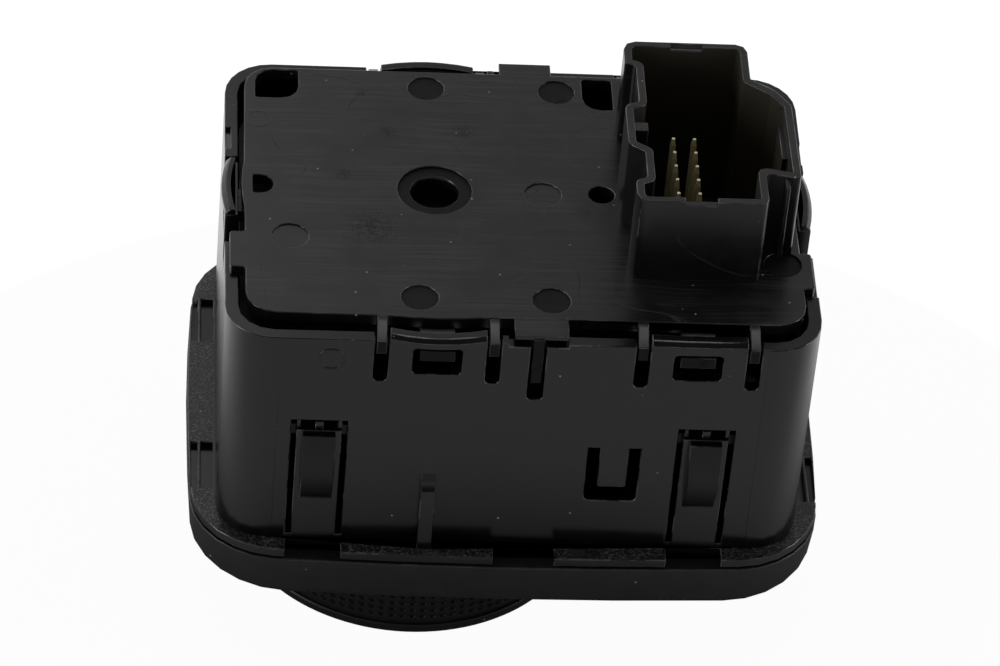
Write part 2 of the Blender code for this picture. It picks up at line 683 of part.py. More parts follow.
def make_housing(shop):
    finish = material("housing nylon", *BLACK_NYLON)
    flange = bezel_outline(FLANGE_STEP_BACK)
    bearing = circle(BEARING_BORE, (KNOB_X, 0.0), 36)
    sleeve = (STEM_WIDTH + 2 * (SLEEVE_WALL + 0.3 * MM + RUNNING_GAP),
              STEM_HEIGHT + 2 * (SLEEVE_WALL + 0.3 * MM + RUNNING_GAP))
    button_holes = [rectangle(*sleeve, 0.0, centre) for centre in button_centres()]
    housing = shop.add("housing", prism(flange, FLANGE_Z, SEAT_Z, [bearing, *button_holes]), finish)

    outline = rectangle(HOUSING_WIDTH, HOUSING_DEPTH, HOUSING_CORNER, segments=6)
    inside = rectangle(2 * INNER_X, 2 * INNER_Y, HOUSING_CORNER - HOUSING_WALL, segments=4)
    sunk = SEAT_Z - 0.4 * MM
    shop.join(housing, "walls", prism(outline, sunk, RIM_Z, [inside]))
    shop.join(housing, "bearing collar", prism(circle(BEARING_BORE + COLLAR_WALL, (KNOB_X, 0.0), 36),
                                               sunk, COLLAR_Z, [bearing]))

    bosses = [prism(circle(BOSS_RADIUS, centre, 12), sunk, FRAME_Z - SEAT_GAP,
                    [circle(SCREW_RADIUS + SEAT_GAP, centre, 8)]) for centre in screw_centres()]
    shop.join(housing, "screw bosses", *bosses)
    ribs = [box(sorted((side * (INNER_X - BOARD_RIB_REACH), side * (INNER_X + 0.3 * MM))),
                (y - BOARD_RIB_WIDTH / 2, y + BOARD_RIB_WIDTH / 2), (sunk, REAR_BOARD_Z - SEAT_GAP))
            for side in (-1, 1) for y in (-BOARD_RIB_Y, BOARD_RIB_Y)]
    shop.join(housing, "board ribs", *ribs)

    crest = -WALL_Y - RIB_PROUD
    rib_top = [(-WALL_Y + 0.4 * MM, RIB_TOP_Z), (-WALL_Y, RIB_TOP_Z), (crest, RIB_TOP_Z - RIB_SLOPE),
               (crest, sunk), (-WALL_Y + 0.4 * MM, sunk)]
    shop.join(housing, "locating rib", prism(rib_top, RIB_X - RIB_WIDTH / 2, RIB_X + RIB_WIDTH / 2, axis="X"))
    barbs = [side for x in CLIP_CENTRES
             for side in both_sides(prism(barb_profile(), x - BARB_WIDTH / 2, x + BARB_WIDTH / 2, axis="X"))]
    shop.join(housing, "clip barbs", *barbs)

    cut_clips(shop, housing)
    cut_latches(shop, housing)
    cut_flange(shop, housing)
    return housing


def cut_clips(shop, housing):
    """Slits that free the panel clips, and the U slot beside them."""
    slits, details = [], []
    outer = CLIP_WIDTH / 2 + CLIP_SLIT
    top = CLIP_TOP_Z + CLIP_TOP_GAP
    foot = SEAT_Z + 0.6 * MM
    for x in CLIP_CENTRES:
        outline = [(x - outer, foot), (x - CLIP_WIDTH / 2, foot), (x - CLIP_WIDTH / 2, CLIP_TOP_Z),
                   (x + CLIP_WIDTH / 2, CLIP_TOP_Z), (x + CLIP_WIDTH / 2, foot), (x + outer, foot),
                   (x + outer, top), (x - outer, top)]
        slits += both_sides(wall_cut(outline))
        details += both_sides(box((x - CLIP_RIB / 2, x + CLIP_RIB / 2),
                                  (-WALL_Y + 0.1 * MM, -INNER_Y - 0.3 * MM),
                                  (CLIP_TOP_Z - 0.3 * MM, top - SEAT_GAP)))
        for side in (-1, 1):
            tooth = x + side * (CLIP_WIDTH - CLIP_TEETH) / 2
            details += both_sides(box((tooth - CLIP_TEETH / 2, tooth + CLIP_TEETH / 2),
                                      (-WALL_Y + 0.05 * MM, -WALL_Y + 0.8 * MM),
                                      (CLIP_TOP_Z + SEAT_GAP + 0.1 * MM, top + 0.4 * MM)))
    shop.cut(housing, "clip slits", *slits)
    shop.join(housing, "clip teeth", *details)
    half, leg = U_SLOT_WIDTH / 2, U_SLOT_LEG
    bottom = U_SLOT_FOOT_Z + 2.2 * MM
    outline = rounded_polygon([
        (U_SLOT_X - half, U_SLOT_FOOT_Z, 0.6 * MM), (U_SLOT_X + half, U_SLOT_FOOT_Z, 0.6 * MM),
        (U_SLOT_X + half, U_SLOT_TOP_Z, 0), (U_SLOT_X + half - leg, U_SLOT_TOP_Z, 0),
        (U_SLOT_X + half - leg, bottom, 0.3 * MM), (U_SLOT_X - half + leg, bottom, 0.3 * MM),
        (U_SLOT_X - half + leg, U_SLOT_TOP_Z, 0), (U_SLOT_X - half, U_SLOT_TOP_Z, 0)], 3)
    shop.cut(housing, "U slot", wall_cut(outline))


def cut_latches(shop, housing):
    """Slots, bowed lips and windows that take the rear cover's posts and barbs."""
    above = LOOP_Z + 1 * MM
    length = LOOP_PITCH - SLOT_WIDTH - 0.1 * MM
    lips = [side for x, bow in zip(LOOP_CENTRES, LOOP_BOWS)
            for side in both_sides(bowed_lip(x, length, bow, WALL_Y + LIP_PROUD, HOUSING_WALL))]
    shop.join(housing, "latch lips", *lips, *side_lips())
    slots = []
    for x in slot_positions():
        outline = rounded_polygon([
            (x - SLOT_WIDTH / 2, SLOT_FOOT_Z, 0.6 * MM), (x + SLOT_WIDTH / 2, SLOT_FOOT_Z, 0.6 * MM),
            (x + SLOT_WIDTH / 2, above, 0), (x - SLOT_WIDTH / 2, above, 0)], 2)
        slots += both_sides(wall_cut(outline))
    stem = TAB_STEM + 2 * SEAT_GAP
    foot = RIM_Z - TAB_SLOT_DEPTH
    shelf = COVER_UNDER_Z + 0.4 * MM - SEAT_GAP
    bar = TAB_BAR / 2 + SEAT_GAP
    tab = rounded_polygon([
        (TAB_X - stem / 2, foot, 0.5 * MM), (TAB_X + stem / 2, foot, 0.5 * MM), (TAB_X + stem / 2, shelf, 0),
        (TAB_X + bar, shelf, 0), (TAB_X + bar, above, 0), (TAB_X - bar, above, 0), (TAB_X - bar, shelf, 0),
        (TAB_X - stem / 2, shelf, 0)], 3)
    slots += both_sides(wall_cut(tab))
    shop.cut(housing, "slots", *slots)
    window_z = RIM_Z - WINDOW_TOP - WINDOW_HEIGHT / 2
    windows = [side for x in LOOP_CENTRES for side in both_sides(
        wall_cut(rectangle(WINDOW_WIDTH, WINDOW_HEIGHT, WINDOW_CORNER, (x, window_z), 2)))]
    side_window = rectangle(WINDOW_WIDTH, WINDOW_HEIGHT, WINDOW_CORNER, (SIDE_LOOP_Y, window_z), 2)
    windows += [prism(side_window, *sorted((side * (INNER_X - 0.2 * MM), side * (WALL_X + 1 * MM))), axis="X")
                for side in (-1, 1)]
    shop.cut(housing, "windows", *windows)

    low, high = SIDE_LOOP_Y - SIDE_LOOP_LENGTH / 2, SIDE_LOOP_Y + SIDE_LOOP_LENGTH / 2
    shelf_z = (COVER_UNDER_Z - SEAT_GAP, above)
    side_slots, shelves = [], []
    for side in (-1, 1):
        wall = sorted((side * (INNER_X - 0.2 * MM), side * (WALL_X + 1 * MM)))
        outer_half = sorted((side * (WALL_X - 0.7 * MM), side * (WALL_X + 1 * MM)))
        side_slots += [box(wall, (high, high + SIDE_SLOT), (SLOT_FOOT_Z, above)),
                       box(wall, (low - SIDE_SLOT_FRONT, low), (SLOT_FOOT_Z, above))]
        tab_low = SIDE_TAB_Y - SIDE_TAB_LENGTH / 2 - SEAT_GAP - (RIGHT_TAB_SHIFT if side > 0 else 0.0)
        shelves += [box(wall, (tab_low, low - SIDE_SLOT_FRONT / 2), shelf_z),
                    box(outer_half, SIDE_RECESS, (RIM_Z - 0.6 * MM, above))]
    shop.cut(housing, "side slots", *side_slots)
    shop.cut(housing, "side shelves", *shelves)


def cut_flange(shop, housing):
    """Notches in the flange's front and back edges, and the pockets at its sides."""
    reach = (-BEZEL_HEIGHT / 2 - 1 * MM, -WALL_Y - 0.1 * MM)
    depth = (FLANGE_Z - 1 * MM, SEAT_Z + 0.1 * MM)
    clip = CLIP_WIDTH / 2 + CLIP_SLIT
    notches = [side for x in CLIP_CENTRES for side in both_sides(box((x - clip, x + clip), reach, depth))]
    middle = (FLANGE_NOTCH_X - FLANGE_NOTCH / 2, FLANGE_NOTCH_X + FLANGE_NOTCH / 2)
    notches += both_sides(box(middle, reach, depth))
    shop.cut(housing, "flange notches", *notches)
    pockets = []
    for side in (-1, 1):
        for middle in (POCKET_SHIFT - POCKET_OFFSET, POCKET_SHIFT + POCKET_OFFSET):
            inner = WALL_X + 0.3 * MM
            for width in POCKET_WIDTHS:
                pockets.append(box(sorted((side * inner, side * (inner + width))),
                                   (middle - POCKET_LENGTH / 2, middle + POCKET_LENGTH / 2),
                                   (SEAT_Z - POCKET_DEPTH, SEAT_Z + 1 * MM)))
                inner += width + POCKET_RIB
    shop.cut(housing, "flange pockets", *pockets)


# Rear cover with the connector shroud

def shroud_corners():
    """(x, y, radius) corners of the shroud's outer outline about its own middle, anticlockwise."""
    points = ((-7.4, -15.0, 1.5), (8.2, -14.9, 0.9), (8.15, -9.15, 0.5), (12.35, -10.1, 0.4), (12.2, 3.7, 0.8),
              (10.5, 6.35, 0.4), (7.6, 8.5, 0.5), (7.6, 15.15, 1.4), (-7.5, 15.15, 1.5), (-7.5, 10.95, 0.5),
              (-6.2, 10.4, 0.5), (-6.2, 3.6, 0.5), (-7.9, 2.9, 1.0), (-7.9, -4.4, 1.2), (-6.0, -5.75, 0.5),
              (-6.0, -10.5, 0.5), (-7.4, -11.1, 0.8))
    return [(SHROUD_X + x * MM, SHROUD_Y + y * MM, radius * MM) for x, y, radius in points]


def plate_corners():
    """(x, y, radius) corners of the cover plate, anticlockwise, with bows towards two bowed lips."""
    low, high = SIDE_TAB_Y - SIDE_TAB_LENGTH / 2, SIDE_TAB_Y + SIDE_TAB_LENGTH / 2
    tab_x = INNER_X + SIDE_TAB_REACH
    shift = RIGHT_TAB_SHIFT
    round_edge = 0.4 * MM
    shares = (-0.85, -0.5, 0, 0.5, 0.85)
    swell = [PLATE_BOW * (1 - s * s) for s in shares]
    front = [(LOOP_CENTRES[0] + s * (LOOP_PITCH - SLOT_WIDTH) / 2, PLATE_FRONT - out, 0)
             for s, out in zip(shares, swell)]
    left = [(PLATE_LEFT - out, SIDE_LOOP_Y - s * SIDE_LOOP_LENGTH / 2, 0) for s, out in zip(shares, swell)]
    return [(PLATE_LEFT, PLATE_FRONT, PLATE_CORNER), *front, (PLATE_RIGHT, PLATE_FRONT, PLATE_CORNER),
            (PLATE_RIGHT, low - shift, 0), (tab_x, low - shift, round_edge), (tab_x, high - shift, round_edge),
            (PLATE_RIGHT, high - shift, 0),
            (PLATE_RIGHT, PLATE_BACK, PLATE_CORNER), (PLATE_LEFT, PLATE_BACK, PLATE_CORNER), *left,
            (PLATE_LEFT, high, round_edge), (-tab_x, high, round_edge), (-tab_x, low, round_edge),
            (PLATE_LEFT, low, round_edge)]


def post_profile():
    """(y, z) section of a post that runs from the plate over the rim and down a slot."""
    face = -WALL_Y + 0.1 * MM
    foot = SLOT_FOOT_Z + 4.2 * MM
    return [(PLATE_FRONT + 1 * MM, COVER_Z - 0.1 * MM), (PLATE_FRONT - 1.2 * MM, COVER_Z - 0.1 * MM),
            (face, RIM_Z - 0.2 * MM), (face, foot), (face + 1.2 * MM, foot),
            (face + 1.2 * MM, COVER_UNDER_Z + 0.1 * MM), (PLATE_FRONT + 1 * MM, COVER_UNDER_Z + 0.1 * MM)]


def snap_profile(wall, inner, edge):
    """(y, z) section of a snap arm under the plate's edge, with its barb in the window."""
    foot = REAR_BOARD_REAR_Z + RUNNING_GAP
    top = RIM_Z - WINDOW_TOP - 0.6 * MM
    arm = -inner + 0.4 * MM
    face = -wall + 0.35 * MM
    root = edge + 0.5 * MM
    return [(root, COVER_UNDER_Z + 0.2 * MM), (arm, COVER_UNDER_Z - 0.4 * MM), (arm, top), (face, top),
            (face, top - 1.6 * MM), (arm, foot), (root, foot)]


def make_cover(shop):
    finish = material("cover plastic", *BLACK_MATT)
    cover = shop.add("rear_cover", prism(rounded_polygon(plate_corners(), 4), COVER_UNDER_Z, COVER_Z), finish)
    outer = shroud_corners()
    shop.join(cover, "shroud", prism(rounded_polygon(outer, 2), SHROUD_FOOT_Z, SHROUD_Z))
    well = prism(rounded_polygon(inset(outer, SHROUD_WALL), 2), SHROUD_FOOT_Z - 1 * MM, SHROUD_Z + 1 * MM)
    shop.cut(cover, "socket", well)
    shop.cut(cover, "screw reliefs", *screw_reliefs())

    xs, ys, _ = zip(*outer)
    inner_left, inner_right = min(xs) + SHROUD_WALL, max(xs) - SHROUD_WALL
    sunk = SHROUD_FOOT_Z + HEADER_HEIGHT + SEAT_GAP
    key_y = SHROUD_Y - KEY_RIB_DROP
    key = box((min(xs) + SHROUD_WALL / 2, inner_left + KEY_RIB_REACH),
              (key_y - KEY_RIB_WIDTH / 2, key_y + KEY_RIB_WIDTH / 2), (sunk, SHROUD_Z - 0.2 * MM))
    ledge = box((inner_right - LEDGE_REACH, max(xs) - SHROUD_WALL / 2),
                (key_y - LEDGE_LENGTH / 2, key_y + LEDGE_LENGTH / 2), (sunk, SHROUD_Z - LEDGE_BELOW_RIM))
    fin_x = max(xs) - FIN_INSET
    fin = box((fin_x - FIN_WIDTH, fin_x), (min(ys) + FIN_START, min(ys) + FIN_START + 1.9 * MM),
              (COVER_Z - 0.3 * MM, SHROUD_Z - 0.3 * MM))
    shop.join(cover, "keys", key, ledge, fin)
    notch_z = (SHROUD_Z - RIM_NOTCH_DEPTH, SHROUD_Z + 1 * MM)
    notch_x = (SHROUD_X + RIM_NOTCH_X - RIM_NOTCH_WIDTH / 2, SHROUD_X + RIM_NOTCH_X + RIM_NOTCH_WIDTH / 2)
    back_notch = box(notch_x, (max(ys) - 2 * SHROUD_WALL, max(ys) - SHROUD_WALL / 3), notch_z)
    front_notch = box(notch_x, (min(ys) - 1 * MM, min(ys) + 2 * SHROUD_WALL), notch_z)
    shop.cut(cover, "rim notches", back_notch, front_notch)

    half = SLOT_WIDTH / 2 - 0.8 * SEAT_GAP
    posts = [side for x in slot_positions()
             for side in both_sides(prism(post_profile(), x - half, x + half, axis="X"))]
    shop.join(cover, "posts", *posts)
    post = TAB_STEM / 2
    bar_z = (COVER_Z - TAB_BAR_HEIGHT, COVER_Z - 0.05 * MM)
    bar_x = (TAB_X + TAB_BAR_SHIFT - TAB_BAR / 2, TAB_X + TAB_BAR_SHIFT + TAB_BAR / 2)
    bars = (box(bar_x, (-WALL_Y + 0.4 * MM, PLATE_FRONT + 1 * MM), bar_z),
            box(bar_x, (PLATE_BACK - 1 * MM, WALL_Y + TAB_BAR_BACK), bar_z))
    stems = both_sides(box((TAB_X - post, TAB_X + post), (-WALL_Y + 0.2 * MM, -WALL_Y + 1.4 * MM),
                           (RIM_Z - TAB_STEM_DEPTH, COVER_Z - TAB_BAR_HEIGHT + 0.2 * MM)))
    shop.join(cover, "tab bars", *bars)
    shop.join(cover, "tab stems", *stems)
    snap = WINDOW_WIDTH / 2 - 0.8 * MM
    section = snap_profile(WALL_Y, INNER_Y, PLATE_FRONT)
    arms = [side for x in LOOP_CENTRES for side in both_sides(prism(section, x - snap, x + snap, axis="X"))]
    side_arm = prism(snap_profile(WALL_X, INNER_X, PLATE_LEFT), -snap, snap, axis="X")
    for side in (-1, 1):
        copy = side_arm.copy()
        copy.transform(Matrix.Translation((0, SIDE_LOOP_Y, 0)) @ Matrix.Rotation(side * math.pi / 2, 4, "Z"))
        arms.append(copy)
    shop.join(cover, "snap arms", *arms)
    cut_cover(shop, cover)
    return cover


def cut_cover(shop, cover):
    """Openings and marks in the cover plate."""
    through = (COVER_UNDER_Z - 1 * MM, COVER_Z + 1 * MM)
    width, depth = CORNER_OPENING
    left, back = -INNER_X + CORNER_OPENING_INSET[0], PLATE_BACK - CORNER_OPENING_INSET[1]
    corner = rounded_polygon([(left, back - depth, 0.3 * MM), (left + width, back - depth, 2.2 * MM),
                              (left + width, back, 0.3 * MM), (left, back, 2.2 * MM)])
    width = BEHIND_OPENING[0]
    left, front = SHROUD_X - BEHIND_OPENING_INSET[0], PLATE_BACK - BEHIND_OPENING_INSET[1]
    rear = front + BEHIND_OPENING[1]
    behind = rounded_polygon([(left, front, 2.2 * MM), (left + width, front, 0.3 * MM),
                              (left + width, rear, 0.3 * MM), (left, rear, 0.3 * MM)])
    left, right = PLATE_LEFT + 0.9 * MM, PLATE_LEFT + 3.4 * MM
    d_hole = rounded_polygon([(left, D_HOLE_Y - 1.7 * MM, 0.3 * MM), (right, D_HOLE_Y - 1.7 * MM, 1.6 * MM),
                              (right, D_HOLE_Y + 1.7 * MM, 1.6 * MM), (left, D_HOLE_Y + 1.7 * MM, 0.3 * MM)])
    holes = [prism(outline, *through) for outline in (corner, behind, d_hole)]
    holes += [cylinder(RING_BORE, *through, RING_HOLE, 24),
              cylinder(ROUND_HOLE_RADIUS, *through, ROUND_HOLE, 16)]
    shop.cut(cover, "holes", *holes)
    above = COVER_Z + 1 * MM
    marks = [cylinder(MARK_RADIUS, COVER_Z - MARK_RECESS, above, (x * MM, y * MM), 14) for x, y in MARKS]
    shop.cut(cover, "marks", cylinder(RING_RADIUS, COVER_Z - RING_RECESS, above, RING_HOLE, 28), *marks)


# Connector

def pin_centres():
    middle_x, middle_y = SHROUD_X + PIN_FIELD[0], SHROUD_Y + PIN_FIELD[1]
    return [(middle_x + (column - (PIN_COLUMNS - 1) / 2) * PIN_PITCH,
             middle_y + ((PIN_ROWS - 1) / 2 - row) * PIN_PITCH)
            for column in range(PIN_COLUMNS) for row in range(PIN_ROWS)]


def make_connector(shop):
    finish = material("header plastic", *BLACK_MATT)
    low = FRONT_BOARD_REAR_Z + SEAT_GAP
    floor = rounded_polygon(inset(shroud_corners(), SHROUD_WALL + SEAT_GAP), 1)
    header = shop.add("connector_header", prism(floor, low, low + HEADER_HEIGHT), finish)
    room = PIN_SIZE / 2 + SEAT_GAP
    wells = [box((x - room, x + room), (y - room, y + room), (FRONT_BOARD_Z, SHROUD_Z))
             for x, y in pin_centres()]
    shop.cut(header, "pin wells", *wells)

    brass = material("pin brass", (0.62, 0.55, 0.36), 0.28, 1.0)
    pin = pin_mesh()
    for number, centre in enumerate(pin_centres(), 1):
        shop.add(f"pin_{number:02d}", pin, brass, centre)


def pin_mesh():
    """Square pin with a tapered tip."""
    low = FRONT_BOARD_REAR_Z + SEAT_GAP
    made = bmesh.new()
    size = Matrix.Diagonal((PIN_SIZE, PIN_SIZE, PIN_END_Z - low, 1))
    matrix = Matrix.Translation((0, 0, (low + PIN_END_Z) / 2)) @ size
    bmesh.ops.create_cube(made, size=1.0, matrix=matrix)
    top = [face for face in made.faces if face.normal.z > 0.5]
    grown = bmesh.ops.inset_region(made, faces=top, thickness=PIN_TIP_INSET, use_even_offset=True)
    shoulder = {vert for face in grown["faces"] for vert in face.verts} - set(top[0].verts)
    bmesh.ops.translate(made, verts=list(shoulder), vec=(0, 0, -PIN_TIP))
    mesh = bpy.data.meshes.new("pin")
    made.to_mesh(mesh)
    made.free()
    return mesh


# Knob and what turns with it

def make_knob(shop):
    axis = shop.axis("knob_axis", (KNOB_X, 0.0))
    grip_radius = KNOB_RADIUS - GRIP_STEP
    groove = KNOB_RADIUS - KNOB_GROOVE_DEPTH
    rim_top = KNOB_RIM + KNOB_GROOVE
    profile = [(KNOB_INNER, KNOB_LENGTH), (grip_radius, KNOB_LENGTH), (grip_radius, rim_top),
               (groove, rim_top), (groove, KNOB_RIM),
               (KNOB_RADIUS, KNOB_RIM), (KNOB_RADIUS, KNOB_EDGE), (KNOB_RADIUS - KNOB_EDGE, 0.0),
               (KNOB_WINDOW, 0.0), (KNOB_WINDOW, KNOB_FACE), (KNOB_INNER, KNOB_FACE)]
    grip_finish = material("knob grip rubber", (0.022, 0.022, 0.022), 0.5)
    shop.add("knob_grip", turned(profile, 48), grip_finish, parent=axis)

    hub_front = KNOB_FACE + SEAT_GAP
    plate = hub_front + HUB_PLATE
    shoulder = FLANGE_Z - SEAT_GAP
    collar = HUB_RADIUS + HUB_COLLAR
    plate_radius = KNOB_INNER - SEAT_GAP
    hub_rear = DETENT_REAR_Z - HUB_END_GAP
    spigot_z = DETENT_Z - SEAT_GAP
    profile = [(HUB_BORE, hub_rear), (HUB_SPIGOT, hub_rear), (HUB_SPIGOT, spigot_z), (HUB_RADIUS, spigot_z),
               (HUB_RADIUS, shoulder), (collar, shoulder), (collar, plate), (plate_radius, plate),
               (plate_radius, hub_front), (HUB_BORE, hub_front)]
    core_finish = material("knob core acetal", (0.55, 0.55, 0.53), 0.45)
    shop.add("knob_core", turned(profile, 28), core_finish, parent=axis)

    profile = [(DETENT_BORE, DETENT_REAR_Z), (DETENT_RADIUS, DETENT_REAR_Z), (DETENT_RADIUS, DETENT_Z),
               (DETENT_BORE, DETENT_Z)]
    ring = turned(profile, DETENT_COUNT * 4)
    for vert in ring.vertices:
        if vert.co.z > DETENT_Z + DETENT_HEIGHT / 2:
            angle = math.atan2(vert.co.y, vert.co.x)
            vert.co.z -= DETENT_DEPTH / 2 * (1 + math.cos(DETENT_COUNT * angle))
    ring_finish = material("detent acetal", (0.70, 0.69, 0.64), 0.4)
    shop.add("detent_ring", ring, ring_finish, parent=axis)

    skirt_bore = ENCODER_RADIUS - ENCODER_WALL
    skirt_end = SKIRT_Z + ENCODER_SKIRT
    profile = [(skirt_bore, skirt_end), (ENCODER_RADIUS, skirt_end), (ENCODER_RADIUS, ENCODER_Z),
               (ENCODER_BORE, ENCODER_Z), (ENCODER_BORE, SKIRT_Z), (skirt_bore, SKIRT_Z)]
    encoder_finish = material("encoder plastic", (0.05, 0.05, 0.055), 0.5)
    encoder = shop.add("encoder_ring", turned(profile, 2 * ENCODER_SLOTS), encoder_finish, parent=axis)
    slots = []
    for number in range(ENCODER_SLOTS):
        slot = box((skirt_bore - ENCODER_WALL, ENCODER_RADIUS + ENCODER_WALL),
                   (-ENCODER_SLOT / 2, ENCODER_SLOT / 2), (SKIRT_Z + ENCODER_FLANGE, skirt_end + 1 * MM))
        turn = Matrix.Rotation(2 * math.pi * (number + 0.5) / ENCODER_SLOTS, 4, "Z")
        slot.transform(axis.matrix_basis @ turn)
        slots.append(slot)
    shop.cut(encoder, "slots", *slots)


# Buttons

def make_buttons(shop):
    cap_z = MODE_CAP_RECESS
    cap_rear = cap_z + MODE_CAP_THICKNESS
    tube = GUIDE_RADIUS - GUIDE_WALL - RUNNING_GAP
    tube_end = cap_rear + MODE_TUBE_LENGTH
    bore = tube - MODE_TUBE_WALL
    post = MODE_POST_RADIUS
    profile = [(0.0, STEM_END_Z), (post, STEM_END_Z), (post, cap_rear + 1 * MM), (bore, cap_rear),
               (bore, tube_end), (tube, tube_end), (tube, cap_rear), (MODE_CAP_RADIUS, cap_rear),
               (MODE_CAP_RADIUS, cap_z + 0.5 * MM), (MODE_CAP_RADIUS - 0.5 * MM, cap_z), (0.0, cap_z)]
    gloss = material("button gloss", (0.018, 0.018, 0.019), 0.2)
    shop.add("mode_button", turned(profile, 28), gloss, (KNOB_X, 0.0))

    face = BEZEL_FACE_Z - SIDE_BUTTON_PROUD
    lip_z = BEZEL_FACE_Z + BEZEL_WALL + SEAT_GAP
    satin = material("button satin", (0.022, 0.022, 0.024), 0.42)
    for name, (x, y) in zip(("raise_button", "lower_button"), button_centres()):
        cap = rectangle(SIDE_BUTTON_WIDTH, SIDE_BUTTON_HEIGHT, SIDE_BUTTON_CORNER, (x, y))
        button = shop.add(name, prism(cap, face, lip_z + SIDE_BUTTON_LIP), satin)
        round_front_edge(button, face, SIDE_BUTTON_EDGE, 2)
        lip = rectangle(SIDE_BUTTON_WIDTH + 2 * LIP_REACH, SIDE_BUTTON_HEIGHT + 2 * LIP_REACH,
                        SIDE_BUTTON_CORNER, (x, y))
        shop.join(button, "lip", prism(lip, lip_z, lip_z + SIDE_BUTTON_LIP))
        hollow = rectangle(SIDE_BUTTON_WIDTH - 2 * SIDE_BUTTON_WALL, SIDE_BUTTON_HEIGHT - 2 * SIDE_BUTTON_WALL,
                           0.0, (x, y))
        shop.cut(button, "hollow", prism(hollow, face + SIDE_BUTTON_WALL, lip_z + SIDE_BUTTON_LIP + 1 * MM))
        stem = rectangle(STEM_WIDTH, STEM_HEIGHT, 0.0, (x, y))
        shop.join(button, "stem", prism(stem, face + SIDE_BUTTON_WALL / 2, STEM_END_Z))


# Inner frame, boards and switches

def make_frame(shop):
    finish = material("inner frame plastic", (0.60, 0.60, 0.58), 0.5)
    width, depth = 2 * (INNER_X - FRAME_MARGIN[0]), 2 * (INNER_Y - FRAME_MARGIN[1])
    outline = rectangle(width, depth, BOARD_CORNER)
    frame = shop.add("inner_frame", prism(outline, FRAME_Z, FRAME_Z + FRAME_THICKNESS), finish)
    sunk = FRAME_Z + 0.4 * MM
    guide = prism(circle(GUIDE_RADIUS, (KNOB_X, 0), 28), KNOB_FACE + SEAT_GAP + 0.8 * MM, sunk,
                  [circle(GUIDE_RADIUS - GUIDE_WALL, (KNOB_X, 0), 28)])
    hole = (STEM_WIDTH + 2 * SEAT_GAP, STEM_HEIGHT + 2 * SEAT_GAP)
    sleeve = (hole[0] + 2 * SLEEVE_WALL, hole[1] + 2 * SLEEVE_WALL)
    sleeves = [prism(rectangle(*sleeve, 0.0, centre), SEAT_Z + 1 * MM, sunk) for centre in button_centres()]
    cups = [cylinder(PLUNGER_RADIUS + SEAT_GAP + CUP_WALL, DETENT_REAR_Z + CUP_STANDOFF, sunk, centre, 16)
            for centre in plunger_centres()]
    shop.join(frame, "guides", guide, *sleeves, *cups)
    stems = [prism(rectangle(*hole, 0.0, centre), SEAT_Z, FRAME_Z - 1 * MM) for centre in button_centres()]
    bores = [cylinder(PLUNGER_RADIUS + SEAT_GAP, DETENT_REAR_Z, FRAME_Z, centre, 16)
             for centre in plunger_centres()]
    through = (FRAME_Z - 3 * MM, FRAME_Z + FRAME_THICKNESS + 1 * MM)
    domes = [cylinder(DOME_RADIUS + DOME_HOLE_GAP, *through, centre, 16) for centre in dome_centres()]
    for_screws = [cylinder(SCREW_RADIUS + SEAT_GAP, *through, centre, 8) for centre in screw_centres()]
    notch = SENSOR_WIDTH / 2 + 0.8 * MM
    sensors = both_sides(box((KNOB_X - notch, KNOB_X + notch), (-depth, ENCODER_WIDTH - ENCODER_RADIUS),
                             through))
    shop.cut(frame, "bores", *stems, *bores)
    shop.cut(frame, "openings", *domes, *for_screws, *sensors)


def plunger_centres():
    return (KNOB_X + PLUNGER_ORBIT, 0.0), (KNOB_X - PLUNGER_ORBIT, 0.0)


def dome_centres():
    return ((KNOB_X, 0.0), *button_centres())


def screw_centres():
    return [(x, y) for x in (-BOSS_X, BOSS_X) for y in (-BOSS_Y, BOSS_Y)]


def screw_reliefs():
    """Room for the screw heads in whatever stands on the front board at the connector end."""
    top = FRONT_BOARD_REAR_Z + SCREW_HEAD + 2 * SEAT_GAP
    return [cylinder(SCREW_HEAD_RADIUS + SEAT_GAP, FRONT_BOARD_Z, top, centre, 12)
            for centre in screw_centres() if centre[0] > 0]


def make_boards(shop):
    mask = material("board laminate", (0.008, 0.014, 0.011), 0.45)
    outline = rectangle(2 * (INNER_X - FRAME_MARGIN[0]), 2 * (INNER_Y - FRAME_MARGIN[1]), BOARD_CORNER)
    front = shop.add("front_board", prism(outline, FRONT_BOARD_Z, FRONT_BOARD_REAR_Z), mask)
    through = (FRONT_BOARD_Z - 1 * MM, FRONT_BOARD_REAR_Z + 1 * MM)
    holes = [cylinder(SCREW_RADIUS + SEAT_GAP, *through, centre, 8) for centre in screw_centres()]
    shop.cut(front, "screw holes", *holes)
    outline = rectangle(2 * (INNER_X - SEAT_GAP), 2 * (INNER_Y - REAR_BOARD_MARGIN), BOARD_CORNER)
    rear = shop.add("rear_board", prism(outline, REAR_BOARD_Z, REAR_BOARD_REAR_Z), mask)
    xs, ys, _ = zip(*shroud_corners())
    notch = box((min(xs) - BOARD_NOTCH_GAP, INNER_X), (min(ys) - BOARD_NOTCH_GAP, max(ys) + BOARD_NOTCH_GAP),
                (REAR_BOARD_Z - 1 * MM, REAR_BOARD_REAR_Z + 1 * MM))
    shop.cut(rear, "connector notch", notch)

    black = material("component body", (0.03, 0.03, 0.032), 0.5)
    width, length = SOCKET_STRIP
    strip = box((SOCKET_STRIP_X - width / 2, SOCKET_STRIP_X + width / 2), (-length / 2, length / 2),
                (FRONT_BOARD_REAR_Z + SEAT_GAP, REAR_BOARD_Z - SEAT_GAP))
    shop.add("board_connector", strip, black)
    chip_z = REAR_BOARD_REAR_Z + SEAT_GAP
    chip = box((-CHIP_SIZE / 2, CHIP_SIZE / 2), (-CHIP_SIZE / 2, CHIP_SIZE / 2),
               (chip_z, chip_z + CHIP_HEIGHT))
    shop.add("controller_chip", chip, black, CHIP_CENTRE)


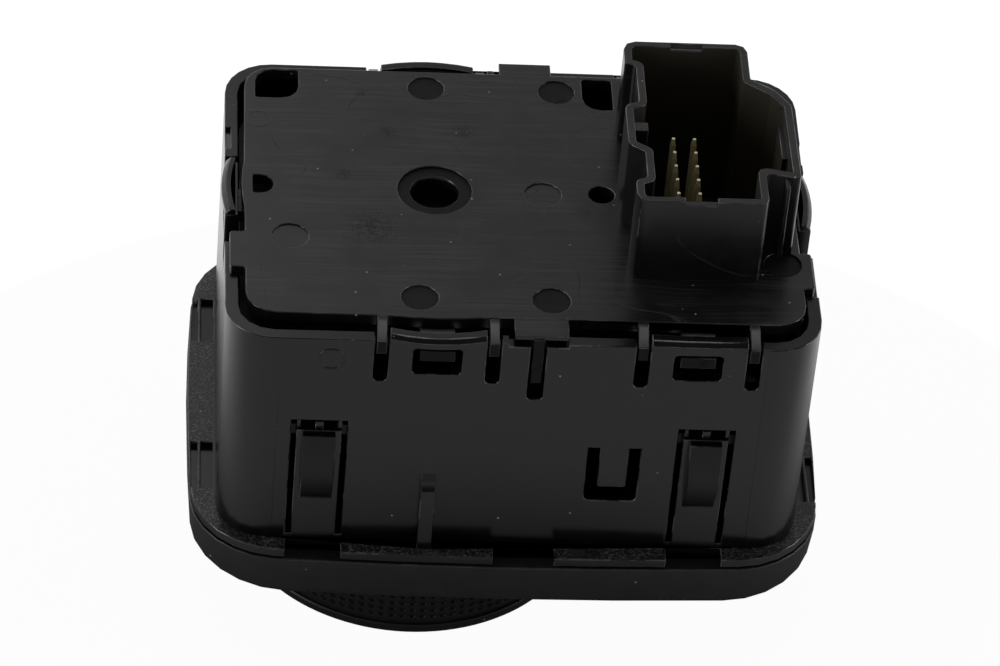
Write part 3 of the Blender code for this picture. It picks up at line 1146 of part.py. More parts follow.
def make_sensors(shop):
    """Forked light barriers that straddle the encoder's skirt."""
    black = material("sensor body", (0.03, 0.03, 0.032), 0.4)
    half = SENSOR_WIDTH / 2
    inner = math.sqrt((ENCODER_RADIUS - ENCODER_WALL) ** 2 - half ** 2) - SEAT_GAP
    outer = ENCODER_RADIUS + SEAT_GAP
    bridge_z = SKIRT_Z + ENCODER_SKIRT + SENSOR_BRIDGE_GAP
    tip_z = bridge_z - SENSOR_OVERLAP
    foot_z = FRONT_BOARD_Z - SEAT_GAP
    outline = [(inner - SENSOR_ARM, foot_z), (inner - SENSOR_ARM, tip_z), (inner, tip_z), (inner, bridge_z),
               (outer, bridge_z), (outer, tip_z), (outer + SENSOR_ARM, tip_z), (outer + SENSOR_ARM, foot_z)]
    fork = prism(outline, -half, half, axis="X")
    for name, mesh in zip(("rotation_sensor_1", "rotation_sensor_2"), both_sides(fork)):
        shop.add(name, mesh, black, (KNOB_X, 0.0))


def make_switches(shop):
    rubber = material("dome silicone", (0.45, 0.45, 0.44), 0.6)
    foot = DOME_Z + DOME_HEIGHT
    profile = [(0.0, DOME_Z + DOME_CROWN), (DOME_RADIUS - DOME_WALL, foot), (DOME_RADIUS, foot),
               (DOME_RADIUS, foot - DOME_WALL), (DOME_HEAD_RADIUS, DOME_Z + DOME_WALL),
               (DOME_HEAD_RADIUS, DOME_Z), (0.0, DOME_Z)]
    dome = turned(profile, 16)
    for name, centre in zip(("mode_dome", "raise_dome", "lower_dome"), dome_centres()):
        shop.add(name, dome, rubber, centre)
    white = material("indicator lens", (0.8, 0.8, 0.75), 0.3)
    board = FRONT_BOARD_Z - SEAT_GAP
    led = box((-LED_SIZE / 2, LED_SIZE / 2), (-LED_SIZE / 2, LED_SIZE / 2), (board - LED_HEIGHT, board))
    for name, (x, y) in zip(("raise_led", "lower_led"), button_centres()):
        shop.add(name, led, white, (x - LED_OFFSET, y))


def make_detents(shop):
    """Sprung plungers whose noses ride over the detent ring."""
    steel = material("spring steel", (0.55, 0.55, 0.56), 0.3, 1.0)
    white = material("plunger acetal", (0.72, 0.71, 0.68), 0.4)
    nose_z = DETENT_REAR_Z - DETENT_DEPTH + SEAT_GAP
    rear_z = nose_z + PLUNGER_LENGTH
    seat = rear_z - PLUNGER_SEAT
    well = SPRING_RADIUS + SPRING_WIRE + 0.15 * MM
    nose = [(PLUNGER_RADIUS * math.sin(angle), nose_z + PLUNGER_NOSE * (1 - math.cos(angle)))
            for angle in (math.pi / 2 * step / 3 for step in range(3, -1, -1))]
    profile = [(0.0, seat), (well, seat), (well, rear_z), (PLUNGER_RADIUS, rear_z), *nose]
    plunger = turned(profile, 16)
    spring = coil(seat + SEAT_GAP + SPRING_WIRE, FRAME_Z - SEAT_GAP - SPRING_WIRE)
    for number, centre in enumerate(plunger_centres(), 1):
        shop.add(f"detent_plunger_{number}", plunger, white, centre)
        shop.add(f"detent_spring_{number}", spring, steel, centre)


def coil(low, high):
    """Compression spring between two levels."""
    curve = bpy.data.curves.new("coil", "CURVE")
    curve.dimensions = "3D"
    curve.bevel_depth = SPRING_WIRE
    curve.bevel_resolution = 1
    curve.use_fill_caps = True
    count = SPRING_TURNS * 9 + 1
    spline = curve.splines.new("POLY")
    spline.points.add(count - 1)
    for index, point in enumerate(spline.points):
        share = index / (count - 1)
        angle = 2 * math.pi * SPRING_TURNS * share
        level = low + (high - low) * share
        point.co = (SPRING_RADIUS * math.cos(angle), SPRING_RADIUS * math.sin(angle), level, 1.0)
    guide = bpy.data.objects.new("coil", curve)
    bpy.context.scene.collection.objects.link(guide)
    return solid_from(guide)


def make_screws(shop):
    steel = material("screw steel", (0.5, 0.5, 0.5), 0.35, 1.0)
    head_z = FRONT_BOARD_REAR_Z + SEAT_GAP
    tip_z = head_z - SCREW_LENGTH
    profile = [(0.0, head_z + SCREW_HEAD), (SCREW_HEAD_RADIUS - 0.4 * MM, head_z + SCREW_HEAD),
               (SCREW_HEAD_RADIUS, head_z + SCREW_HEAD - 0.5 * MM), (SCREW_HEAD_RADIUS, head_z),
               (SCREW_RADIUS, head_z), (SCREW_RADIUS, tip_z + 0.5 * MM), (0.3 * MM, tip_z), (0.0, tip_z)]
    screw = turned(profile, 10)
    for number, centre in enumerate(screw_centres(), 1):
        shop.add(f"board_screw_{number}", screw, steel, centre)


def main():
    clear_scene()
    shop = Workshop()
    make_housing(shop)
    make_bezel(shop)
    make_cover(shop)
    make_connector(shop)
    make_knob(shop)
    make_buttons(shop)
    make_frame(shop)
    make_boards(shop)
    make_sensors(shop)
    make_switches(shop)
    make_detents(shop)
    make_screws(shop)


main()
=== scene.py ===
# %% [markdown]
# This lesson dresses a dashboard switch: a rotary knob with push buttons, standing on its knob so that
# the connector side faces up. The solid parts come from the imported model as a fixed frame. Each cell
# gives one finish or one piece, and everything is in metres in the same frame as the solids.

# %% Load the solid parts
import bpy
import bmesh
import math
from mathutils import Matrix, Vector


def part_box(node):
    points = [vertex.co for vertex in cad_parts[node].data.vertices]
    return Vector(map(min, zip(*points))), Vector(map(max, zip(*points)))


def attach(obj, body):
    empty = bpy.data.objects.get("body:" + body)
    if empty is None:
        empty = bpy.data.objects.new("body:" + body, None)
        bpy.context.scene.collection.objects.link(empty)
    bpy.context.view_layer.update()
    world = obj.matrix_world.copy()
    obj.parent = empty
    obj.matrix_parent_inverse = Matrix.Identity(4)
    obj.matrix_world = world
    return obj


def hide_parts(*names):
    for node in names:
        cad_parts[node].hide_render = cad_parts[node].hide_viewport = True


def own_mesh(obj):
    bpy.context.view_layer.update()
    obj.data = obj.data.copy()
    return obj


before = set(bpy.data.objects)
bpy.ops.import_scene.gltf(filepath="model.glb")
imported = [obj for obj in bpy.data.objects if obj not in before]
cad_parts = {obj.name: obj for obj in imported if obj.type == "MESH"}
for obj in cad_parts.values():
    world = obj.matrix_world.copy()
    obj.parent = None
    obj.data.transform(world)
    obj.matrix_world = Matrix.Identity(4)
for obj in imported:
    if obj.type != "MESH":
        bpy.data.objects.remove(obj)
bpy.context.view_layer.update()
MM = 0.001

# %% [markdown]
# The camera stands where the photographer stood. A long lens from 0.65 m keeps the walls almost
# parallel. It could be placed by eye, but the position, the aim and the roll come from matching the
# corners of the housing, so every later piece lands where the photograph shows it.

# %% Camera at the photographer's place
CAMERA_PLACE = Vector((-51.169, -499.714, 471.282)) * MM
CAMERA_AIM = Vector((0.075515, 0.747637, -0.659800))
CAMERA_UP = Vector((-0.027023, 0.662980, 0.748149))
FOCAL_IN_FRAME_WIDTHS = 5.43188

camera_data = bpy.data.cameras.new("camera")
camera_data.sensor_fit = "HORIZONTAL"
camera_data.sensor_width = 36.0
camera_data.lens = camera_data.sensor_width * FOCAL_IN_FRAME_WIDTHS
camera_data.clip_start = 0.01
camera_data.clip_end = 20.0
camera = bpy.data.objects.new("camera", camera_data)
bpy.context.scene.collection.objects.link(camera)
camera_side = CAMERA_AIM.cross(CAMERA_UP).normalized()
camera_top = camera_side.cross(CAMERA_AIM).normalized()
turn = Matrix((camera_side, camera_top, -CAMERA_AIM.normalized())).transposed().to_4x4()
camera.matrix_world = Matrix.Translation(CAMERA_PLACE) @ turn
bpy.context.scene.camera = camera
distance = (CAMERA_PLACE - Vector((0, 0, 52)) * MM).length
print("camera distance to the cover:", round(distance, 3), "m")

# %% [markdown]
# Every finish below is a tree of shader nodes. Each node could be made and set line by line, but a few
# small helpers keep the cells short: one places a node with its settings, one multiplies two outputs, and
# one starts a new material.

# %% A way to place nodes
def place(nodes, kind, **settings):
    """A new shader node with its settings. A setting that names an input sets that input's value."""
    made = nodes.new("ShaderNode" + kind)
    for name, value in settings.items():
        label = name.replace("_", " ")
        if label in made.inputs:
            made.inputs[label].default_value = value
        else:
            setattr(made, name, value)
    return made


def product(nodes, links, first, second):
    """The output of a node that multiplies two outputs."""
    times = place(nodes, "Math", operation="MULTIPLY")
    links.new(first, times.inputs[0])
    links.new(second, times.inputs[1])
    return times.outputs[0]


def new_material(name):
    """A new material, its nodes and its links."""
    made = bpy.data.materials.new(name)
    made.use_nodes = True
    return made, made.node_tree.nodes, made.node_tree.links


# %% [markdown]
# The switch stands on a white table. The grey of its glossy walls is the table's reflection in them, so
# the table glows for reflected rays, with painted light that grows towards the back. Close round the foot
# a painted shadow makes it dark in reflections, standing in for the shade under the real overhanging bezel.
# Two tables could do this, but one material that asks which kind of ray it meets keeps the object's own
# shadow on it too.

# %% Table
TABLE_SIZE, TABLE_DROP = 6.0, 0.2 * MM
TABLE_SHARE_SEEN = 0.96
FOOT_SHADOW_REACH, FOOT_SHADOW_GLOW = 36 * MM, 0.05
OPEN_REACH, OPEN_GLOSS = 66 * MM, 0.52
BACK_START, BACK_REACH, BACK_PAINTED_LIGHT = -45 * MM, 15 * MM, 2.1
FOOT_SHAPE = (1 / 1.37, 1.0, 1.0)

bpy.ops.object.select_all(action="DESELECT")
bpy.ops.mesh.primitive_plane_add(size=TABLE_SIZE, location=(0, 0, -TABLE_DROP))
table = bpy.context.object
table.name = "table"
finish, nodes, links = new_material("table white")
paper = nodes["Principled BSDF"]
paper.inputs["Base Color"].default_value = (0.9, 0.9, 0.9, 1)
paper.inputs["Roughness"].default_value = 0.9
paper.inputs["Specular IOR Level"].default_value = 0.0
glow = place(nodes, "Emission", Color=(1, 1, 1, 1))
path = place(nodes, "LightPath")
spot = place(nodes, "TexCoord")
oval = place(nodes, "VectorMath", operation="MULTIPLY")
oval.inputs[1].default_value = FOOT_SHAPE
reach = place(nodes, "VectorMath", operation="LENGTH")
# Painted shadow and painted light: the glow that reflections see is dimmed round the foot and raised towards
# the back.
shade = place(nodes, "MapRange", interpolation_type="SMOOTHSTEP", From_Min=FOOT_SHADOW_REACH,
              From_Max=OPEN_REACH, To_Min=FOOT_SHADOW_GLOW, To_Max=OPEN_GLOSS)
depth = place(nodes, "SeparateXYZ")
back = place(nodes, "MapRange", From_Min=BACK_START, From_Max=BACK_REACH, To_Min=1.0, To_Max=BACK_PAINTED_LIGHT)
strength = place(nodes, "Math", operation="MAXIMUM")
share = place(nodes, "Math", operation="MULTIPLY_ADD")
share.inputs[1].default_value = TABLE_SHARE_SEEN
mix = place(nodes, "MixShader")
links.new(spot.outputs["Object"], oval.inputs[0])
links.new(oval.outputs[0], reach.inputs[0])
links.new(reach.outputs["Value"], shade.inputs["Value"])
links.new(spot.outputs["Object"], depth.inputs[0])
links.new(depth.outputs["Y"], back.inputs["Value"])
links.new(product(nodes, links, shade.outputs["Result"], back.outputs["Result"]), strength.inputs[0])
links.new(path.outputs["Is Camera Ray"], strength.inputs[1])
links.new(strength.outputs[0], glow.inputs["Strength"])
links.new(path.outputs["Is Camera Ray"], share.inputs[0])
links.new(path.outputs["Is Glossy Ray"], share.inputs[2])
links.new(share.outputs[0], mix.inputs["Fac"])
links.new(paper.outputs["BSDF"], mix.inputs[1])
links.new(glow.outputs["Emission"], mix.inputs[2])
links.new(mix.outputs["Shader"], nodes["Material Output"].inputs["Surface"])
table.data.materials.append(finish)
print("in reflections the table is", OPEN_GLOSS, "grey, and", FOOT_SHADOW_GLOW, "close to the foot")

# %% [markdown]
# The sky is white near the horizon and falls to dark grey overhead and in front. The flat cover mirrors
# its middle and stays dark, while the rounded corners mirror the bright horizon and carry a white streak.
# An image of a studio would do the same, but a ramp over the height of the ray needs no picture.

# %% Sky
SKY_STOPS = ((0.08, 1.0), (0.60, 0.44), (0.92, 0.12))
FRONT_SHARE, FRONT_END, BACK_BEGIN = 0.3, -0.3, 0.4
LOW_END, HIGH_BEGIN = 0.1, 0.4

world = bpy.data.worlds.new("studio")
bpy.context.scene.world = world
world.use_nodes = True
nodes, links = world.node_tree.nodes, world.node_tree.links
direction = place(nodes, "TexCoord")
height = place(nodes, "SeparateXYZ")
ramp = place(nodes, "ValToRGB")
ramp.color_ramp.elements.new(0.5)
for stop, (rise, grey) in zip(ramp.color_ramp.elements, SKY_STOPS):
    stop.position = rise
    stop.color = (grey, grey, grey, 1)
links.new(direction.outputs["Generated"], height.inputs[0])
links.new(height.outputs["Z"], ramp.inputs["Fac"])
behind = place(nodes, "MapRange", From_Min=FRONT_END, From_Max=BACK_BEGIN, To_Min=FRONT_SHARE, To_Max=1.0)
lifted = place(nodes, "MapRange", From_Min=LOW_END, From_Max=HIGH_BEGIN)
part = place(nodes, "Mix", data_type="FLOAT")
part.inputs[2].default_value = 1.0
grey = place(nodes, "VectorMath", operation="SCALE")
links.new(height.outputs["Y"], behind.inputs["Value"])
links.new(height.outputs["Z"], lifted.inputs["Value"])
links.new(lifted.outputs["Result"], part.inputs[0])
links.new(behind.outputs["Result"], part.inputs[3])
links.new(ramp.outputs["Color"], grey.inputs[0])
links.new(part.outputs[0], grey.inputs["Scale"])
links.new(grey.outputs[0], nodes["Background"].inputs["Color"])
print("sky, as (height, grey):", SKY_STOPS)

# %% [markdown]
# Four soft area lamps stand in for the photographer's softboxes: one overhead, one at each side, and a
# small card behind, which lays the sheen on the left half of the cover. They are hidden from the camera.
# The Standard view shows the greys as they are set.

# %% Lamps
def add_lamp(name, where, target, size, watts):
    """A rectangular area lamp that shines at its target."""
    data = bpy.data.lights.new(name, "AREA")
    data.shape = "RECTANGLE"
    data.size, data.size_y = size
    data.energy = watts
    lamp = bpy.data.objects.new(name, data)
    bpy.context.scene.collection.objects.link(lamp)
    lamp.location = where
    aim = Vector(target) - lamp.location
    lamp.rotation_euler = aim.to_track_quat("-Z", "Y").to_euler()
    lamp.visible_camera = False


add_lamp("softbox overhead", where=(-0.05, 0.12, 1.1), target=(0, 0, 0.03), size=(0.7, 0.5), watts=2.2)
add_lamp("card behind", where=(-0.125, 0.2, 0.225), target=(-0.02, 0, 0.05), size=(0.2, 0.2), watts=0.085)
add_lamp("softbox left", where=(-0.9, -0.25, 0.3), target=(0, 0, 0.03), size=(0.35, 0.5), watts=2.6)
add_lamp("softbox right", where=(0.95, -0.15, 0.3), target=(0, 0, 0.03), size=(0.3, 0.5), watts=2.0)
bpy.context.scene.view_settings.view_transform = "Standard"

# %% [markdown]
# Several plastics share the same small marks: the grain of the mould, hairlines and scratches from
# handling, and dust. Each of them is a node group that puts out a mask or a height, so every material can
# place it with its own size and strength. They could be painted by hand, but noise in object coordinates
# needs no unwrapping and is as sharp on a small tooth as on a large wall.

# %% A way to start a node group
def start_group(name, inputs, outputs):
    """A shader node group with named value inputs, and its nodes, links and two end nodes."""
    made = bpy.data.node_groups.new(name, "ShaderNodeTree")
    for label, value in inputs.items():
        socket = made.interface.new_socket(name=label, in_out="INPUT", socket_type="NodeSocketFloat")
        socket.default_value = value
    for label in outputs:
        made.interface.new_socket(name=label, in_out="OUTPUT", socket_type="NodeSocketFloat")
    nodes, links = made.nodes, made.links
    return made, nodes, links, nodes.new("NodeGroupInput"), nodes.new("NodeGroupOutput")


def scaled_place(nodes, links, factor):
    """Object coordinates multiplied by an output called factor."""
    where = place(nodes, "TexCoord")
    grown = place(nodes, "VectorMath", operation="SCALE")
    links.new(where.outputs["Object"], grown.inputs[0])
    links.new(factor, grown.inputs["Scale"])
    return grown.outputs[0]


# %% [markdown]
# A mould wall cut by sparks leaves a fine even grain. One noise gives its height for the Bump node, and a
# second one, twenty times coarser, gives the cloudy tone that every real black plastic has.

# %% Spark-eroded grain
CLOUD_SCALE, CLOUD_BELOW, CLOUD_ABOVE = 1 / 20, 0.38, 0.62

GRAIN, nodes, links, given, result = start_group(
    "spark grain", {"Grains per metre": 3500.0}, ("Height", "Tone"))
where = scaled_place(nodes, links, given.outputs["Grains per metre"])
fine = place(nodes, "TexNoise", Scale=1.0, Detail=2.0, Roughness=0.6)
patchy = place(nodes, "TexNoise", Scale=CLOUD_SCALE, Detail=4.0, Roughness=0.65)
clear = place(nodes, "MapRange", interpolation_type="SMOOTHSTEP", From_Min=CLOUD_BELOW, From_Max=CLOUD_ABOVE)
links.new(where, fine.inputs["Vector"])
links.new(where, patchy.inputs["Vector"])
links.new(fine.outputs["Fac"], result.inputs["Height"])
links.new(patchy.outputs["Fac"], clear.inputs["Value"])
links.new(clear.outputs["Result"], result.inputs["Tone"])
print("group:", GRAIN.name)

# %% [markdown]
# Hairlines are the many faint lines that come from sliding a part on a bench. A noise that is stretched
# along one direction draws them: Share sets how many pass the cut, and a second noise breaks them up, so
# that they don't run from end to end like brushed metal.

# %% Hairlines along one direction
LINE_SWAY = 0.0018
CUT_AT_NO_SHARE, CUT_FALL, CUT_SOFTNESS = 0.62, -0.17, 0.12
BROKEN_BELOW, WHOLE_ABOVE = 0.30, 0.60

HAIRLINES, nodes, links, given, result = start_group(
    "hairlines", {"Lines per metre": 9000.0, "Length": 0.012, "Share": 0.08}, ("Mask",))
where = place(nodes, "TexCoord")
waver = place(nodes, "TexNoise", Scale=70.0, Detail=1.0)
sway = place(nodes, "VectorMath", operation="MULTIPLY_ADD")
sway.inputs[1].default_value = (LINE_SWAY, LINE_SWAY, LINE_SWAY)
stretch = place(nodes, "CombineXYZ")
along = place(nodes, "Math", operation="DIVIDE")
along.inputs[0].default_value = 1.0
drawn = place(nodes, "VectorMath", operation="MULTIPLY")
lines = place(nodes, "TexNoise", Scale=1.0, Detail=1.0, Roughness=0.5)
low = place(nodes, "Math", operation="MULTIPLY_ADD")
low.inputs[1].default_value = CUT_FALL
low.inputs[2].default_value = CUT_AT_NO_SHARE
high = place(nodes, "Math", operation="ADD")
high.inputs[1].default_value = CUT_SOFTNESS
cut = place(nodes, "MapRange", interpolation_type="SMOOTHSTEP")
patches = place(nodes, "TexNoise", Scale=160.0, Detail=2.0)
broken = place(nodes, "MapRange", interpolation_type="SMOOTHSTEP", From_Min=BROKEN_BELOW,
               From_Max=WHOLE_ABOVE)
links.new(where.outputs["Object"], waver.inputs["Vector"])
links.new(waver.outputs["Color"], sway.inputs[0])
links.new(where.outputs["Object"], sway.inputs[2])
links.new(given.outputs["Length"], along.inputs[1])
links.new(along.outputs[0], stretch.inputs["X"])
links.new(given.outputs["Lines per metre"], stretch.inputs["Y"])
links.new(along.outputs[0], stretch.inputs["Z"])
links.new(sway.outputs[0], drawn.inputs[0])
links.new(stretch.outputs[0], drawn.inputs[1])
links.new(drawn.outputs[0], lines.inputs["Vector"])
links.new(given.outputs["Share"], low.inputs[0])
links.new(lines.outputs["Fac"], cut.inputs["Value"])
links.new(low.outputs[0], cut.inputs["From Min"])
links.new(low.outputs[0], high.inputs[0])
links.new(high.outputs[0], cut.inputs["From Max"])
links.new(where.outputs["Object"], patches.inputs["Vector"])
links.new(patches.outputs["Fac"], broken.inputs["Value"])
links.new(product(nodes, links, cut.outputs["Result"], broken.outputs["Result"]), result.inputs["Mask"])
print("group:", HAIRLINES.name)

# %% [markdown]
# A few longer scratches curve across the cover. The borders between the cells of a Voronoi texture are
# thin lines that bend once its coordinates are pushed about by noise, and a second noise keeps only short
# stretches of them. Curves laid by hand would be as good, but they would have to follow every surface.

# %% Loose scratches
SCRATCH_BEND = 1.6
SHOWN_AT_NO_SHARE, SHOWN_TO = 0.72, 0.66

SCRATCHES, nodes, links, given, result = start_group(
    "loose scratches", {"Cells per metre": 90.0, "Width": 0.012, "Share": 0.3}, ("Mask",))
where = scaled_place(nodes, links, given.outputs["Cells per metre"])
bent = place(nodes, "TexNoise", Scale=0.9, Detail=1.0)
sway = place(nodes, "VectorMath", operation="MULTIPLY_ADD")
sway.inputs[1].default_value = (SCRATCH_BEND, SCRATCH_BEND, SCRATCH_BEND)
cells = place(nodes, "TexVoronoi", feature="DISTANCE_TO_EDGE", Scale=1.0)
line = place(nodes, "MapRange", interpolation_type="SMOOTHSTEP", To_Min=1.0, To_Max=0.0)
parts = place(nodes, "TexNoise", Scale=1.4, Detail=3.0, Roughness=0.65)
limit = place(nodes, "Math", operation="SUBTRACT")
limit.inputs[0].default_value = SHOWN_AT_NO_SHARE
gate = place(nodes, "MapRange", interpolation_type="SMOOTHSTEP", From_Max=SHOWN_TO)
links.new(where, bent.inputs["Vector"])
links.new(bent.outputs["Color"], sway.inputs[0])
links.new(where, sway.inputs[2])
links.new(sway.outputs[0], cells.inputs["Vector"])
links.new(cells.outputs["Distance"], line.inputs["Value"])
links.new(given.outputs["Width"], line.inputs["From Max"])
links.new(where, parts.inputs["Vector"])
links.new(parts.outputs["Fac"], gate.inputs["Value"])
links.new(given.outputs["Share"], limit.inputs[1])
links.new(limit.outputs[0], gate.inputs["From Min"])
links.new(product(nodes, links, line.outputs["Result"], gate.outputs["Result"]), result.inputs["Mask"])
print("group:", SCRATCHES.name)

# %% [markdown]
# Dust is scattered specks. A Voronoi texture gives each cell one point and one random colour: the distance
# to the point draws the speck, and the colour decides which few cells have one.

# %% Dust
DUST, nodes, links, given, result = start_group(
    "dust", {"Specks per metre": 700.0, "Size": 0.12, "Share": 0.06}, ("Mask",))
where = scaled_place(nodes, links, given.outputs["Specks per metre"])
specks = place(nodes, "TexVoronoi", feature="F1", Scale=1.0)
dot = place(nodes, "MapRange", To_Min=1.0, To_Max=0.0)
chosen = place(nodes, "SeparateColor")
few = place(nodes, "Math", operation="LESS_THAN")
links.new(where, specks.inputs["Vector"])
links.new(specks.outputs["Distance"], dot.inputs["Value"])
links.new(given.outputs["Size"], dot.inputs["From Max"])
links.new(specks.outputs["Color"], chosen.inputs[0])
links.new(chosen.outputs[0], few.inputs[0])
links.new(given.outputs["Share"], few.inputs[1])
links.new(product(nodes, links, dot.outputs["Result"], few.outputs[0]), result.inputs["Mask"])
print("group:", DUST.name)

# %% [markdown]
# A black plastic is never one black, so its colour and its roughness each start from one value, and every
# mark pulls them towards its own. That is a chain of Mix nodes, which one helper links.

# %% Colour and roughness as a chain of marks
COLOUR_SOCKETS, NUMBER_SOCKETS = (6, 7, 2), (2, 3, 0)


def chain(nodes, links, shader, socket, start, steps):
    """Feeds a shader input from a start value that each (mask, strength, target) step pulls to its target."""
    current = None
    for mask, strength, target in steps:
        colour = isinstance(start, tuple)
        mix = place(nodes, "Mix", data_type="RGBA" if colour else "FLOAT")
        first, second, out = COLOUR_SOCKETS if colour else NUMBER_SOCKETS
        amount = place(nodes, "Math", operation="MULTIPLY")
        amount.inputs[1].default_value = strength
        links.new(mask, amount.inputs[0])
        links.new(amount.outputs[0], mix.inputs[0])
        if current is None:
            mix.inputs[first].default_value = (*start, 1) if colour else start
        else:
            links.new(current, mix.inputs[first])
        mix.inputs[second].default_value = (*target, 1) if colour else target
        current = mix.outputs[out]
    links.new(current, shader.inputs[socket])


def use(nodes, group, **values):
    """A placed node group with its inputs set by name."""
    made = nodes.new("ShaderNodeGroup")
    made.node_tree = group
    for label, value in values.items():
        made.inputs[label.replace("_", " ")].default_value = value
    return made


# %% [markdown]
# The photograph shows darker greasy spots on the cover. A spot mirrors the dark sky more sharply than the
# dull plastic round it, so it only needs a mask for its place, torn at the edge by a noise.

# %% Smudges
SMUDGE_GRAIN = 2600.0
TORN_BELOW, TORN_ABOVE = 0.40, 0.56


def smudge_mask(nodes, links, smudges):
    """A ragged mask round each (x, y, radius) spot, seen from above."""
    where = place(nodes, "TexCoord")
    ragged = place(nodes, "TexNoise", Scale=SMUDGE_GRAIN, Detail=3.0, Roughness=0.7)
    flat = place(nodes, "VectorMath", operation="MULTIPLY")
    flat.inputs[1].default_value = (1, 1, 0)
    links.new(where.outputs["Object"], ragged.inputs["Vector"])
    links.new(where.outputs["Object"], flat.inputs[0])
    total = None
    for x, y, radius in smudges:
        away = place(nodes, "VectorMath", operation="DISTANCE")
        away.inputs[1].default_value = (x * MM, y * MM, 0)
        near = place(nodes, "MapRange", interpolation_type="SMOOTHSTEP", From_Max=radius * MM, To_Min=1.0,
                     To_Max=0.0)
        links.new(flat.outputs[0], away.inputs[0])
        links.new(away.outputs["Value"], near.inputs["Value"])
        if total is None:
            total = near.outputs["Result"]
        else:
            wider = place(nodes, "Math", operation="MAXIMUM")
            links.new(total, wider.inputs[0])
            links.new(near.outputs["Result"], wider.inputs[1])
            total = wider.outputs[0]
    torn = place(nodes, "MapRange", From_Min=TORN_BELOW, From_Max=TORN_ABOVE)
    links.new(ragged.outputs["Fac"], torn.inputs["Value"])
    return product(nodes, links, torn.outputs["Result"], total)


# %% [markdown]
# Some marks only belong on some faces. The modelling cells below write three numbers on the faces of each
# piece: "worn" is 1 on the small faces of a bevel, "level" on faces that look up, and "textured" on the
# eroded flange. A mask is multiplied by one of them, so wear follows the real corners. A painted mask would
# have to be redone whenever the shape changes.

# %% Masks that follow the faces
HAIRLINE_SIZE = {"Lines_per_metre": 7000.0, "Length": 0.016}
RUBBED_BELOW = 0.33
GLINT_GRAIN, GLINT_BELOW, GLINT_ABOVE = 4200.0, 0.50, 0.62


def on_faces(nodes, attribute):
    """The number that each face has in an attribute."""
    return place(nodes, "Attribute", attribute_name=attribute).outputs["Fac"]


def lines_on_level(nodes, links, share):
    """Hairlines on the faces that look up."""
    lines = use(nodes, HAIRLINES, Share=share, **HAIRLINE_SIZE)
    return product(nodes, links, lines.outputs["Mask"], on_faces(nodes, "level"))


def worn_edges(nodes, links, tone):
    """Wear on the small faces of a bevel, broken up by a cloudy tone."""
    rubbed = place(nodes, "MapRange", interpolation_type="SMOOTHSTEP", From_Min=RUBBED_BELOW, From_Max=1.0)
    links.new(tone, rubbed.inputs["Value"])
    return product(nodes, links, on_faces(nodes, "worn"), rubbed.outputs["Result"])


def eroded_glints(nodes, links, textured):
    """Painted glints: coarse bright grains on the textured faces."""
    eroded = use(nodes, GRAIN, Grains_per_metre=GLINT_GRAIN)
    contrast = place(nodes, "MapRange", From_Min=GLINT_BELOW, From_Max=GLINT_ABOVE)
    links.new(eroded.outputs["Height"], contrast.inputs["Value"])
    return product(nodes, links, contrast.outputs["Result"], textured)


# %% [markdown]
# One maker builds every moulded plastic from these parts. The grain breaks up its gloss, hairlines scatter
# light, worn edges are smoother and paler, and dust sits on top.

# %% Moulded plastic
COOL_GLOSS = (0.96, 0.94, 1.0, 1)
SCRATCH_SIZE = {"Cells_per_metre": 60.0, "Width": 0.009}
SOOT, DUST_GREY = (0.0, 0.0, 0.0), (0.42, 0.42, 0.40)
GREASE, GREASE_ROUGHNESS = (0.0005, 0.0005, 0.0004), 0.1


def moulded(name, colour, roughness, grain=3500.0, depth=0.004, hairlines=0.10, scratches=0.3, dust=0.06,
            worn=(0.05, 0.05, 0.052), pale=0.012, specular=0.5, patch=None, smudges=()):
    """Black plastic. patch is (colour, roughness, painted glint colour) where the attribute "textured" is 1.

    depth, the height of the grain, is in millimetres, and so are the (x, y, radius) spots of smudges.
    """
    made, nodes, links = new_material(name)
    shader = nodes["Principled BSDF"]
    shader.inputs["Specular IOR Level"].default_value = specular
    shader.inputs["Specular Tint"].default_value = COOL_GLOSS
    sparks = use(nodes, GRAIN, Grains_per_metre=grain)
    tone = sparks.outputs["Tone"]
    line = lines_on_level(nodes, links, hairlines)
    mark = use(nodes, SCRATCHES, Share=scratches, **SCRATCH_SIZE).outputs["Mask"]
    speck = use(nodes, DUST, Share=dust).outputs["Mask"]
    rub = worn_edges(nodes, links, tone)
    cloudy = tuple(channel + pale / 4 for channel in colour)
    lighter = tuple(channel + pale for channel in colour)
    steps = [(tone, 0.5, cloudy), (line, 1.0, lighter),
             (mark, 0.8, SOOT), (rub, 0.9, worn), (speck, 0.9, DUST_GREY)]
    rough = [(tone, 0.5, roughness * 1.3), (line, 0.5, roughness * 1.35), (mark, 0.9, 0.9),
             (rub, 0.7, roughness * 0.7), (speck, 1.0, 0.9)]
    if patch:
        textured = on_faces(nodes, "textured")
        ground, ground_roughness, glint_colour = patch
        steps[:0] = [(textured, 1.0, ground), (eroded_glints(nodes, links, textured), 1.0, glint_colour)]
        rough[:0] = [(textured, 1.0, ground_roughness)]
    if smudges:
        dirt = smudge_mask(nodes, links, smudges)
        steps.append((dirt, 0.8, GREASE))
        rough.append((dirt, 0.9, GREASE_ROUGHNESS))
    chain(nodes, links, shader, "Base Color", colour, steps)
    chain(nodes, links, shader, "Roughness", roughness, rough)
    bump = place(nodes, "Bump", Strength=0.6, Distance=depth * MM)
    links.new(sparks.outputs["Height"], bump.inputs["Height"])
    links.new(bump.outputs["Normal"], shader.inputs["Normal"])
    return made


# %% [markdown]
# The pieces below are modelled with the same few moves: make one object active, select some of its faces,
# edges or points, and apply a modifier. They could be picked by hand in the viewport, but a rule finds the
# right ones again when the solid has changed.

# %% Selecting by a rule
def only(thing):
    """Makes one object the selected and active one."""
    bpy.ops.object.select_all(action="DESELECT")
    thing.select_set(True)
    bpy.context.view_layer.objects.active = thing


